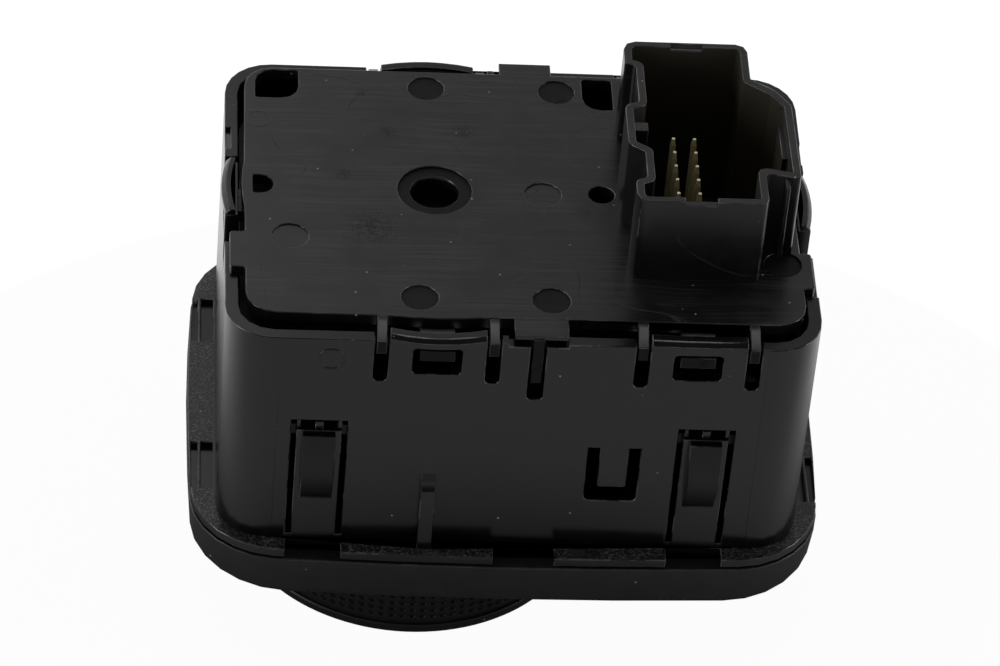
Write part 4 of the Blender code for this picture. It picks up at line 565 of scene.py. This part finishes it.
def pick(thing, wanted, kind="faces"):
    """Selects the faces, or edges or verts, of an object in edit mode for which wanted(item) is true."""
    bpy.ops.mesh.select_mode(type={"verts": "VERT", "edges": "EDGE", "faces": "FACE"}[kind])
    made = bmesh.from_edit_mesh(thing.data)
    for group in (made.verts, made.edges, made.faces):
        for item in group:
            item.select = False
    chosen = [item for item in getattr(made, kind) if wanted(item)]
    for item in chosen:
        item.select_set(True)
    made.select_flush_mode()
    bmesh.update_edit_mesh(thing.data)
    return len(chosen)


def apply_modifier(thing, kind, **settings):
    """Adds a modifier and applies it, so that later cells can select on the result."""
    only(thing)
    modifier = thing.modifiers.new(kind.lower(), kind)
    for name, value in settings.items():
        setattr(modifier, name, value)
    bpy.ops.object.modifier_apply(modifier=modifier.name)


# %% [markdown]
# A finished piece needs a finish, a body that carries it, and the names of the solids that it stands for.
# Numbers on its faces tell the finish where it is worn, level or textured.

# %% Finishing a piece
def dress(names, finish):
    """Gives solid nodes, or pieces, one finish."""
    for name in names:
        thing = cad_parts.get(name) or bpy.data.objects[name]
        thing.data.materials.clear()
        thing.data.materials.append(finish)


def keep(piece, body, *nodes):
    """Joins a finished piece to its body and says which solids it stands for."""
    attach(piece, body)
    if nodes:
        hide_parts(*nodes)
    print(piece.name, "has", sum(len(face.vertices) - 2 for face in piece.data.polygons), "triangles")


def mark_faces(piece, attribute, value_of):
    """Writes a number for each face into a face attribute."""
    layer = piece.data.attributes.get(attribute) or piece.data.attributes.new(attribute, "FLOAT", "FACE")
    for face in piece.data.polygons:
        layer.data[face.index].value = value_of(face)


# %% [markdown]
# The solids have knife edges, and a moulding never has. A tenth of a millimetre of radius is what catches
# the light along every rim of the photograph. The bevel could be faked in the material, but real bevel
# faces also give the wear something to sit on. So each visible moulding is a copy of its solid: its loose
# triangles are merged, flat areas joined to single faces, and a Bevel modifier rounds the edges. It puts
# its new faces in a second material slot, which tells them apart until their "worn" number is written.

# %% A solid's copy with soft edges
BEVEL_STEPS, BEVEL_SLOT = 2, 1
FINE_SHARE = 0.35
SHARP, NEARLY_FLAT = math.radians(38), math.radians(1.2)
SAME_POINT, SLIVER = 0.002 * MM, 0.01 * MM
LOOKS_UP = 0.9


def is_sharp(edge):
    """True on outer edges that a moulding would round off."""
    return edge.is_convex and edge.calc_face_angle(0) > SHARP


def softened(node, name, radius, fine=None):
    """A copy of a solid node with small radii on its edges, whose faces carry worn = 1.

    Edges for which fine(edge) is true get a smaller radius.
    """
    piece = bpy.data.objects.new(name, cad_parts[node].data.copy())
    bpy.context.scene.collection.objects.link(piece)
    only(piece)
    piece.data.materials.clear()
    for _ in range(BEVEL_SLOT + 1):
        piece.data.materials.append(None)
    bpy.ops.object.mode_set(mode="EDIT")
    bpy.ops.mesh.select_all(action="SELECT")
    bpy.ops.mesh.remove_doubles(threshold=SAME_POINT)
    bpy.ops.mesh.dissolve_degenerate(threshold=SLIVER)
    bpy.ops.mesh.dissolve_limited(angle_limit=NEARLY_FLAT)
    pick(piece, is_sharp, "edges")
    bpy.ops.transform.edge_bevelweight(value=1)
    if fine:
        thinned = pick(piece, lambda edge: is_sharp(edge) and fine(edge), "edges")
        bpy.ops.transform.edge_bevelweight(value=FINE_SHARE - 1)
        print(thinned, "edges get the finer radius")
    bpy.ops.object.mode_set(mode="OBJECT")
    bpy.ops.object.shade_smooth_by_angle(angle=SHARP)
    apply_modifier(piece, "BEVEL", width=radius, segments=BEVEL_STEPS, limit_method="WEIGHT",
                   use_clamp_overlap=False, material=BEVEL_SLOT, miter_outer="MITER_ARC")
    mark_faces(piece, "worn", lambda face: float(face.material_index == BEVEL_SLOT))
    mark_faces(piece, "level", lambda face: float(face.normal.z > LOOKS_UP))
    for face in piece.data.polygons:
        face.material_index = 0
    piece.data.materials.pop(index=BEVEL_SLOT)
    bpy.ops.object.shade_smooth_by_angle(angle=SHARP)
    apply_modifier(piece, "WEIGHTED_NORMAL", mode="FACE_AREA", keep_sharp=True)
    return piece


# %% [markdown]
# The housing is glass-filled nylon from a polished mould, so its walls mirror the white table. The flange
# round its foot is spark-eroded and scatters light instead, and the grains of its side parts carry painted
# glints. The wedges of the panel clips and the top of the rib lean towards the dark foot, so they get a
# duller plastic. The lips of the latch loops stand out by a hair only, and their edges take a smaller radius,
# or the bevel would eat through the step.

# %% Housing
HOUSING_EDGE = 0.12 * MM
SEAT_Z, SEAT_NEAR = 19.1 * MM, 0.3 * MM
WALL_X, WALL_Y, FLANGE_MORE = 35.3 * MM, 25.5 * MM, 1 * MM
LIP_PROUD, LIP_LOW = 0.02 * MM, 46 * MM
CLIP_PROUD, CLIP_FOOT, CLIP_SLANT, CLIP_SPECULAR = 0.1 * MM, 2 * MM, 0.05, 0.32


def on_a_lip(edge):
    """True on the edges of the latch loops' lips."""
    return all(abs(vert.co.y) > WALL_Y + LIP_PROUD and vert.co.z > LIP_LOW for vert in edge.verts)


def on_a_slope(face):
    """True on the wedges of the panel clips and the top of the rib, which mirror the dark foot."""
    middle = face.center
    outside = abs(middle.y) > WALL_Y + CLIP_PROUD and SEAT_Z + CLIP_FOOT < middle.z < LIP_LOW
    return outside and abs(face.normal.z) > CLIP_SLANT


def on_the_flange(face):
    """True on the flange's upper face."""
    upper = face.normal.z > LOOKS_UP and abs(face.center.z - SEAT_Z) < SEAT_NEAR
    corners = [housing.data.vertices[number].co for number in face.vertices]
    return upper and any(abs(corner.x) > WALL_X + FLANGE_MORE for corner in corners)


housing = softened("housing", "housing_moulding", HOUSING_EDGE, on_a_lip)
mark_faces(housing, "textured", lambda face: float(on_the_flange(face)))
# The patch's last colour paints bright glints on the grains of the side flanges.
dress(["housing_moulding"], moulded(
    "housing nylon", (0.0016, 0.0015, 0.0012), 0.20, grain=5200.0, depth=0.0012, hairlines=0.02,
    scratches=0.06, dust=0.05, worn=(0.05, 0.05, 0.052), pale=0.004,
    patch=((0.002, 0.002, 0.002), 0.42, (0.11, 0.11, 0.115))))
housing.data.materials.append(moulded(
    "clip nylon", (0.0016, 0.0015, 0.0012), 0.25, grain=5200.0, depth=0.0012, scratches=0.06, dust=0.03,
    worn=(0.04, 0.04, 0.042), pale=0.004, specular=CLIP_SPECULAR))
slopes = [int(on_a_slope(face)) for face in housing.data.polygons]
housing.data.polygons.foreach_set("material_index", slopes)
print(sum(slopes), "faces on the slopes of clips and rib")
keep(housing, "housing_body", "housing")

# %% [markdown]
# The mould's parting lines stand proud of the front wall by a twentieth of a millimetre. Each starts as a
# narrow bar laid half into the wall, and its two outer edges are bevelled. A bump map would not move the
# edge of the reflection as a real step does.

# %% Parting lines on the front wall
LINE_WIDTH, LINE_PROUD, LONG = 0.16 * MM, 0.05 * MM, 1 * MM
PARTING_LINES = ((-28.7, 19.6, 43.0), (28.8, 19.6, 50.0))


def parting_line(x, low, high):
    """A line up the front wall at x, between two heights, all in millimetres."""
    bpy.ops.object.select_all(action="DESELECT")
    bpy.ops.mesh.primitive_cube_add(size=1.0, location=(x * MM, -WALL_Y, (low + high) / 2 * MM))
    line = bpy.context.object
    line.scale = (LINE_WIDTH, 2 * LINE_PROUD, (high - low) * MM)
    bpy.ops.object.transform_apply(location=True, rotation=True, scale=True)
    bpy.ops.object.mode_set(mode="EDIT")
    pick(line, lambda edge: all(vert.co.y < -WALL_Y for vert in edge.verts) and
         abs(edge.verts[0].co.z - edge.verts[1].co.z) > LONG, "edges")
    bpy.ops.mesh.bevel(offset=LINE_PROUD, segments=2, affect="EDGES")
    bpy.ops.object.mode_set(mode="OBJECT")
    return line


lines = [parting_line(*values) for values in PARTING_LINES]
only(lines[0])
for line in lines:
    line.select_set(True)
bpy.ops.object.join()
lines[0].name = "parting_lines"
dress(["parting_lines"], bpy.data.materials["housing nylon"])
keep(lines[0], "housing_body")

# %% [markdown]
# A small round mark stands raised on the same wall. It is a ring sunk half into the surface and pressed
# flatter, so that only a thin crest shows. The helper also serves for a mark on the cover.

# %% Ring on the front wall
RING_PLACE, RING_RADIUS, RING_THICK = (-22.7 * MM, -WALL_Y, 48.0 * MM), 1.5 * MM, 0.12 * MM
RING_STEPS, CREST_STEPS = 40, 8


def raised_ring(name, where, radius, thickness, turned, flattened):
    """A thin ring, turned to lie on a surface and flattened there by three factors."""
    bpy.ops.object.select_all(action="DESELECT")
    bpy.ops.mesh.primitive_torus_add(major_radius=radius, minor_radius=thickness, major_segments=RING_STEPS,
                                     minor_segments=CREST_STEPS, location=where, rotation=turned)
    ring = bpy.context.object
    ring.name = name
    bpy.ops.object.transform_apply(location=True, rotation=True, scale=True)
    bpy.ops.object.mode_set(mode="EDIT")
    bpy.ops.mesh.select_all(action="SELECT")
    bpy.ops.transform.resize(value=flattened, center_override=where)
    bpy.ops.object.mode_set(mode="OBJECT")
    bpy.ops.object.shade_smooth()
    return ring


ring_mark = raised_ring("ring_mark", RING_PLACE, RING_RADIUS, RING_THICK, turned=(math.pi / 2, 0, 0),
                        flattened=(1, 0.9, 1))
dress(["ring_mark"], bpy.data.materials["housing nylon"])
keep(ring_mark, "housing_body")

# %% [markdown]
# The rear cover closes the housing with its plate, its snap barbs and the connector's shroud. It starts as
# a softened copy of its solid. Then the floor of the ring round the middle opening is raised, and the
# opening behind the shroud widened, to where the photograph shows them. Both are moves of selected points.

# %% Rear cover
COVER_EDGE, COVER_Z = 0.1 * MM, 52.1 * MM
PLATE_MIDDLE, PLATE_HALF = 51.3 * MM, 0.9 * MM
RING_X, RING_REACH, FLOOR_NEAR = -10.1 * MM, 5 * MM, 0.06 * MM
RING_RECESS, RING_RECESS_SEEN = 0.8 * MM, 0.35 * MM
OPENING_RIGHT, OPENING_FRONT, OPENING_MORE, OPENING_NEAR = 11.8 * MM, 16.5 * MM, 0.6 * MM, 0.16 * MM

cover = softened("rear_cover", "cover_moulding", COVER_EDGE)
only(cover)
bpy.ops.object.mode_set(mode="EDIT")
raised = pick(cover, lambda vert: abs(vert.co.z - COVER_Z + RING_RECESS) < FLOOR_NEAR and
              abs(vert.co.x - RING_X) < RING_REACH, "verts")
bpy.ops.transform.translate(value=(0, 0, RING_RECESS - RING_RECESS_SEEN))
widened = pick(cover, lambda vert: abs(vert.co.x - OPENING_RIGHT) < OPENING_NEAR and
               vert.co.y > OPENING_FRONT and abs(vert.co.z - PLATE_MIDDLE) < PLATE_HALF, "verts")
bpy.ops.transform.translate(value=(OPENING_MORE, 0, 0))
bpy.ops.object.mode_set(mode="OBJECT")
print("raised", raised, "points of the ring's floor and moved", widened, "at the opening")

# %% [markdown]
# Ejector pins left round marks in the plate that are a shade darker. The faces inside the shroud are duller,
# and their lighter, browner colour is painted light. The marks are recesses of the solid, so their floors
# are found by height, and the inside of the shroud by which way its faces look.

# %% Which plastic a face of the cover has
MARK_RECESS, MARK_NEAR = 0.2 * MM, 0.05 * MM
FAINT_MARKS, FAINT_REACH = ((-27.6, -8.2), (3.0, 0.7)), 2.5 * MM
ARM_SHADED_BELOW, ARM_Y, STEEP, UPRIGHT = 50.2 * MM, 22.6 * MM, 0.5, 0.3
SHROUD_MIDDLE, SHROUD_HALF = Vector((20.0, 0.7, 0)) * MM, (13.0 * MM, 16.5 * MM)
SOCKET_LEFT, SOCKET_TOP, FACES_IN = -6.65 * MM, 63.8 * MM, 0.5 * MM


def mark_of(face):
    """1 on dark marks, on the ring's floor and on the sunk arms, where the darker colour is painted shade; 2
    inside the socket, where the lighter colour is painted light; 0 elsewhere.
    """
    drop = COVER_Z - face.center.z
    if face.normal.z > LOOKS_UP and abs(drop - MARK_RECESS) < MARK_NEAR:
        faint = any(math.hypot(face.center.x - x * MM, face.center.y - y * MM) < FAINT_REACH
                    for x, y in FAINT_MARKS)
        return 0 if faint else 1
    if face.normal.z > LOOKS_UP and abs(drop - RING_RECESS_SEEN) < FLOOR_NEAR:
        return 1
    # Painted shade: the sunk arms below the rim take the darker mark finish.
    if abs(face.normal.z) < STEEP and face.center.z < ARM_SHADED_BELOW and abs(face.center.y) > ARM_Y:
        return 1
    away = face.center - SHROUD_MIDDLE
    inward = away.x * face.normal.x + away.y * face.normal.y < -FACES_IN
    inside = SOCKET_LEFT < away.x < SHROUD_HALF[0] and abs(away.y) < SHROUD_HALF[1]
    return 2 if inward and inside and face.center.z < SOCKET_TOP and abs(face.normal.z) < UPRIGHT else 0


# %% [markdown]
# The plate carries fine hairlines along its length, from sliding on benches, and a few greasy spots. Each
# of the three finishes gets a slot of the piece, and every face points to one of them.

# %% Finishes of the rear cover
SMUDGES = ((-17.8, -6.4, 5.0), (-21.0, 3.4, 1.4), (-15.4, 11.8, 1.6), (-18.5, 19.0, 1.2), (8.5, -2.0, 3.0),
           (-6.0, 12.2, 2.0))

dress(["cover_moulding"], moulded(
    "cover plastic", (0.003, 0.0028, 0.0024), 0.28, grain=4200.0, depth=0.008, hairlines=0.8,
    scratches=0.32, dust=0.10, worn=(0.06, 0.06, 0.062), pale=0.012, smudges=SMUDGES))
cover.data.materials.append(moulded("ejector mark and painted shade", (0.002, 0.002, 0.0018), 0.6, hairlines=0.1,
                                    scratches=0.2, specular=0.2, pale=0.008))
# Painted light: a lighter, browner colour on the walls inside the shroud.
cover.data.materials.append(moulded("socket inside painted light", (0.036, 0.031, 0.023), 0.4, hairlines=0.1,
                                    scratches=0.1, specular=0.3, pale=0.008))
slots = [mark_of(face) for face in cover.data.polygons]
cover.data.polygons.foreach_set("material_index", slots)
print("faces in each plastic:", [slots.count(slot) for slot in range(3)])
keep(cover, "housing_body", "rear_cover")

# %% [markdown]
# One ejector pin at the cover's left edge stood flush, so it left only a thin raised circle.

# %% A faint mark on the plate
FAINT_PLACE, FAINT_RADIUS, FAINT_THICK = (-31.2 * MM, 13.5 * MM, COVER_Z), 1.45 * MM, 0.05 * MM

faint = raised_ring("faint_mark", FAINT_PLACE, FAINT_RADIUS, FAINT_THICK, turned=(0, 0, 0),
                    flattened=(1, 1, 0.7))
dress(["faint_mark"], bpy.data.materials["cover plastic"])
keep(faint, "housing_body")

# %% [markdown]
# The bezel and the two rectangular buttons have a soft matt finish, which shows as a fine even grain, and
# the handled edges are a little polished. Their radii are the largest, because fingers meet them.

# %% Bezel and buttons
BEZEL_EDGE, BUTTON_EDGE = 0.15 * MM, 0.18 * MM
SOFT = moulded("bezel soft matt", (0.006, 0.006, 0.006), 0.42, grain=6500.0, depth=0.006, hairlines=0.05,
               scratches=0.15, dust=0.05, worn=(0.02, 0.02, 0.02), pale=0.004, specular=0.46)
CAP = moulded("button satin", (0.0045, 0.0045, 0.0048), 0.38, grain=7000.0, depth=0.004, hairlines=0.03,
              scratches=0.12, dust=0.03, worn=(0.03, 0.03, 0.03), pale=0.004)
bezel = softened("front_bezel", "bezel_moulding", BEZEL_EDGE)
dress(["bezel_moulding"], SOFT)
keep(bezel, "housing_body", "front_bezel")
for name in ("mode_button", "raise_button", "lower_button"):
    cap = softened(name, name + "_cap", BUTTON_EDGE)
    dress([cap.name], CAP)
    keep(cap, name, name)

# %% [markdown]
# The knob is gripped by its side, where rows of small dimples stand above a smooth rim. Its section is
# drawn once as a chain of points and spun round the axis in as many steps as it has columns of dimples,
# so that each face of a row can become one dimple. Boolean cutters would need over a thousand cuts. Spin
# lists its faces in another order on each run, so they are sorted by their points.

# %% Knob grip
KNOB_X, KNOB_EDGE = -10.5 * MM, 0.15 * MM
KNOB_RADIUS, KNOB_GRIP, KNOB_GROOVE_RADIUS = 22.1 * MM, 21.9 * MM, 21.6 * MM
KNOB_INNER, KNOB_WINDOW = 19.5 * MM, 14.0 * MM
KNOB_LENGTH, KNOB_FACE, RIM_TOP, GROOVE_TOP = 15.5 * MM, 3.9 * MM, 1.2 * MM, 1.9 * MM
DIMPLE_COLUMNS, DIMPLE_ROWS, ROW_PITCH, FIRST_ROW = 110, 11, 1.07 * MM, 2.2 * MM
ROWS_END = FIRST_ROW + DIMPLE_ROWS * ROW_PITCH


def corner_number(item):
    """One number for the points that an edge or a face joins."""
    return int("".join(f"{index:04}" for index in sorted(vert.index for vert in item.verts)))


def spun(name, section, steps, centre):
    """A closed section of (radius, height) points, spun in steps round an upright axis at centre."""
    bpy.ops.object.select_all(action="DESELECT")
    bpy.ops.mesh.primitive_plane_add(size=MM)
    piece = bpy.context.object
    piece.name = name
    bpy.ops.object.mode_set(mode="EDIT")
    bpy.ops.mesh.select_mode(type="VERT")
    bpy.ops.mesh.select_all(action="SELECT")
    bpy.ops.mesh.merge(type="CENTER")
    bpy.ops.transform.translate(value=(section[0][0], 0, section[0][1]))
    for (r0, z0), (r1, z1) in zip(section, section[1:]):
        bpy.ops.mesh.extrude_vertices_move(TRANSFORM_OT_translate={"value": (r1 - r0, 0, z1 - z0)})
    made = bmesh.from_edit_mesh(piece.data)
    made.verts.ensure_lookup_table()
    made.edges.new((made.verts[0], made.verts[len(section) - 1]))
    bmesh.update_edit_mesh(piece.data)
    bpy.ops.mesh.select_all(action="SELECT")
    bpy.ops.mesh.spin(steps=steps, angle=2 * math.pi, center=(0, 0, 0), axis=(0, 0, 1))
    bpy.ops.mesh.select_all(action="SELECT")
    bpy.ops.mesh.remove_doubles(threshold=SLIVER)
    bpy.ops.mesh.normals_make_consistent(inside=False)
    made = bmesh.from_edit_mesh(piece.data)
    made.verts.index_update()
    for group in (made.edges, made.faces):
        group.sort(key=corner_number)
    bmesh.update_edit_mesh(piece.data)
    bpy.ops.transform.translate(value=(*centre, 0))
    bpy.ops.object.mode_set(mode="OBJECT")
    return piece


rim, lip, groove, window = KNOB_RADIUS, KNOB_GRIP, KNOB_GROOVE_RADIUS, KNOB_WINDOW
section = [(KNOB_INNER, KNOB_LENGTH), (lip - KNOB_EDGE, KNOB_LENGTH), (lip, KNOB_LENGTH - KNOB_EDGE)]
section += [(lip, ROWS_END - row * ROW_PITCH) for row in range(DIMPLE_ROWS + 1)]
section += [(lip, GROOVE_TOP + KNOB_EDGE), (lip - KNOB_EDGE, GROOVE_TOP), (groove, GROOVE_TOP),
            (groove, RIM_TOP), (rim - KNOB_EDGE, RIM_TOP), (rim, RIM_TOP - KNOB_EDGE), (rim, KNOB_EDGE),
            (rim - KNOB_EDGE, 0), (window + KNOB_EDGE, 0), (window, KNOB_EDGE), (window, KNOB_FACE),
            (KNOB_INNER, KNOB_FACE)]
grip = spun("knob_grip_knurled", section, DIMPLE_COLUMNS, (KNOB_X, 0))
print("knob before the dimples:", len(grip.data.polygons), "faces")

# %% [markdown]
# Each face of the rows is inset, so that a rib is left all round it. Cutting its corners off makes it
# nearly round, and a second inset pushes its middle in.

# %% Dimples
COLUMN_RIB, CORNER_CUT, DIMPLE_SLOPE, DIMPLE_DEPTH = 0.17 * MM, 0.22 * MM, 0.09 * MM, 0.22 * MM
DIMPLE_CORNERS, WORN_BELOW = 8, 0.3 * MM


def in_a_row(face):
    """True on the faces of the knob's side that lie within the rows."""
    middle = face.calc_center_median()
    outer = math.hypot(middle.x - KNOB_X, middle.y) > KNOB_GROOVE_RADIUS
    return outer and abs(face.normal.z) < UPRIGHT and FIRST_ROW < middle.z < ROWS_END


only(grip)
bpy.ops.object.mode_set(mode="EDIT")
chosen = pick(grip, in_a_row)
bpy.ops.mesh.inset(thickness=COLUMN_RIB, use_individual=True)
bpy.ops.mesh.bevel(offset=CORNER_CUT, segments=1, affect="VERTICES", clamp_overlap=False)
bpy.ops.object.mode_set(mode="OBJECT")
print(chosen, "dimples begun,", len(grip.data.polygons), "faces")
bpy.ops.object.mode_set(mode="EDIT")
dimples = pick(grip, lambda face: in_a_row(face) and len(face.verts) == DIMPLE_CORNERS)
bpy.ops.mesh.inset(thickness=DIMPLE_SLOPE, depth=-DIMPLE_DEPTH, use_individual=True)
bpy.ops.object.mode_set(mode="OBJECT")
bpy.ops.object.shade_smooth_by_angle(angle=SHARP)
mark_faces(grip, "worn", lambda face: float(face.center.z < WORN_BELOW))
dress([grip.name], moulded("knob rubber", (0.0025, 0.0025, 0.0025), 0.45, grain=6000.0, depth=0.004,
                           hairlines=0.02, scratches=0.12, dust=0.06, worn=(0.02, 0.02, 0.02), pale=0.004,
                           specular=0.45))
keep(grip, "knob", "knob_grip")
print(dimples, "dimples")

# %% [markdown]
# Drawn wire, stamped sheet and laminate carry fine lines from their making, and even rubber and epoxy vary
# over their surface, because a single flat colour reads as paint. One maker pulls both the colour and the
# roughness towards a second value along such lines and in cloudy patches.

# %% Metal, laminate and rubber
STREAK_GRAIN, STREAK_DEPTH = 5000.0, 0.003 * MM
FLUFF, FLUFF_SHARE = (0.4, 0.4, 0.38), 0.05


def streaked(name, colour, roughness, metallic, other, lines=9000.0, share=0.5):
    """A finish drawn in one direction, such as drawn wire or stamped sheet."""
    made, nodes, links = new_material(name)
    shader = nodes["Principled BSDF"]
    shader.inputs["Metallic"].default_value = metallic
    sparks = use(nodes, GRAIN, Grains_per_metre=STREAK_GRAIN)
    tone = sparks.outputs["Tone"]
    drawn = use(nodes, HAIRLINES, Lines_per_metre=lines, Share=share).outputs["Mask"]
    specks = use(nodes, DUST, Share=FLUFF_SHARE).outputs["Mask"]
    chain(nodes, links, shader, "Base Color", colour,
          [(tone, 0.5, other), (drawn, 0.6, other), (specks, 0.7, FLUFF)])
    chain(nodes, links, shader, "Roughness", roughness,
          [(tone, 0.5, roughness * 1.5), (drawn, 0.6, roughness * 1.8)])
    bump = place(nodes, "Bump", Strength=0.4, Distance=STREAK_DEPTH)
    links.new(sparks.outputs["Height"], bump.inputs["Height"])
    links.new(bump.outputs["Normal"], shader.inputs["Normal"])
    return made


# %% [markdown]
# The inner pieces are brass contacts, two boards with chips, lamps and steel screws, silicone domes,
# pale slides and black frames. A row gives a finish its colour, roughness and metallic value, and then the
# second colour that its lines show. Two rows also set how many lines there are and how many of them show.

# %% Finishes of the inner pieces
STREAKED = {
    "brass contact": ((0.82, 0.76, 0.50), 0.40, 0.75, (0.66, 0.57, 0.33), 9000.0, 0.2),
    "screw steel": ((0.55, 0.55, 0.55), 0.3, 1.0, (0.35, 0.35, 0.36)),
    "spring steel": ((0.60, 0.59, 0.57), 0.22, 1.0, (0.42, 0.41, 0.40)),
    "board laminate": ((0.006, 0.012, 0.009), 0.42, 0.0, (0.010, 0.022, 0.014), 2500.0, 0.8),
    "chip epoxy": ((0.012, 0.012, 0.012), 0.55, 0.0, (0.022, 0.022, 0.021)),
    "white diode": ((0.72, 0.71, 0.62), 0.35, 0.0, (0.55, 0.52, 0.36)),
    "dome silicone": ((0.30, 0.30, 0.29), 0.5, 0.0, (0.38, 0.38, 0.36)),
    "slide plastic": ((0.55, 0.54, 0.50), 0.4, 0.0, (0.42, 0.41, 0.38)),
}
finishes = {name: streaked(name, *values) for name, values in STREAKED.items()}
finishes["inner nylon"] = moulded("inner nylon", (0.003, 0.003, 0.003), 0.4, dust=0.02, pale=0.004)
finishes["connector black"] = moulded("connector black", (0.004, 0.004, 0.0035), 0.45, dust=0.12, pale=0.004)
print("finishes:", sorted(finishes))

# %% [markdown]
# These solids keep their own meshes, since most of them are shut inside, and only get their finish.

# %% Solids that keep their mesh
WEARERS = {
    "brass contact": [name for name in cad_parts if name.startswith("pin_")],
    "screw steel": [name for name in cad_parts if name.startswith("board_screw_")],
    "board laminate": ["front_board", "rear_board"],
    "chip epoxy": ["controller_chip", "rotation_sensor_1", "rotation_sensor_2"],
    "white diode": ["raise_led", "lower_led"],
    "slide plastic": ["detent_plunger_1", "detent_plunger_2", "detent_ring"],
    "inner nylon": ["inner_frame", "encoder_ring", "knob_core"],
    "connector black": ["connector_header", "board_connector"],
}
for finish, names in WEARERS.items():
    dress(names, finishes[finish])
print("solids with their own mesh:", sum(len(names) for names in WEARERS.values()))

# %% [markdown]
# A silicone dome sits under each button and a coil spring behind each detent plunger, and both give way
# when they are pressed. Each is a smooth copy of its solid, with its finish, that stands in for the solid.

# %% Domes and springs as smooth copies
DOME_END, SPRING_END = 36.2 * MM, 33.9 * MM
BUTTON_TRAVEL, PLUNGER_TRAVEL = 1.0 * MM, 0.6 * MM
GIVING = [(button + "_dome", button + "_press", DOME_END, BUTTON_TRAVEL, "dome silicone")
          for button in ("mode", "raise", "lower")]
GIVING += [(f"detent_spring_{number}", f"detent_{number}", SPRING_END, PLUNGER_TRAVEL, "spring steel")
           for number in (1, 2)]

for node, joint, end, travel, finish in GIVING:
    piece = bpy.data.objects.new(node + "_soft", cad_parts[node].data.copy())
    bpy.context.scene.collection.objects.link(piece)
    only(piece)
    bpy.ops.object.shade_smooth_by_angle(angle=SHARP)
    dress([piece.name], finishes[finish])
    keep(piece, "housing_body", node)
    low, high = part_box(node)
    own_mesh(piece)
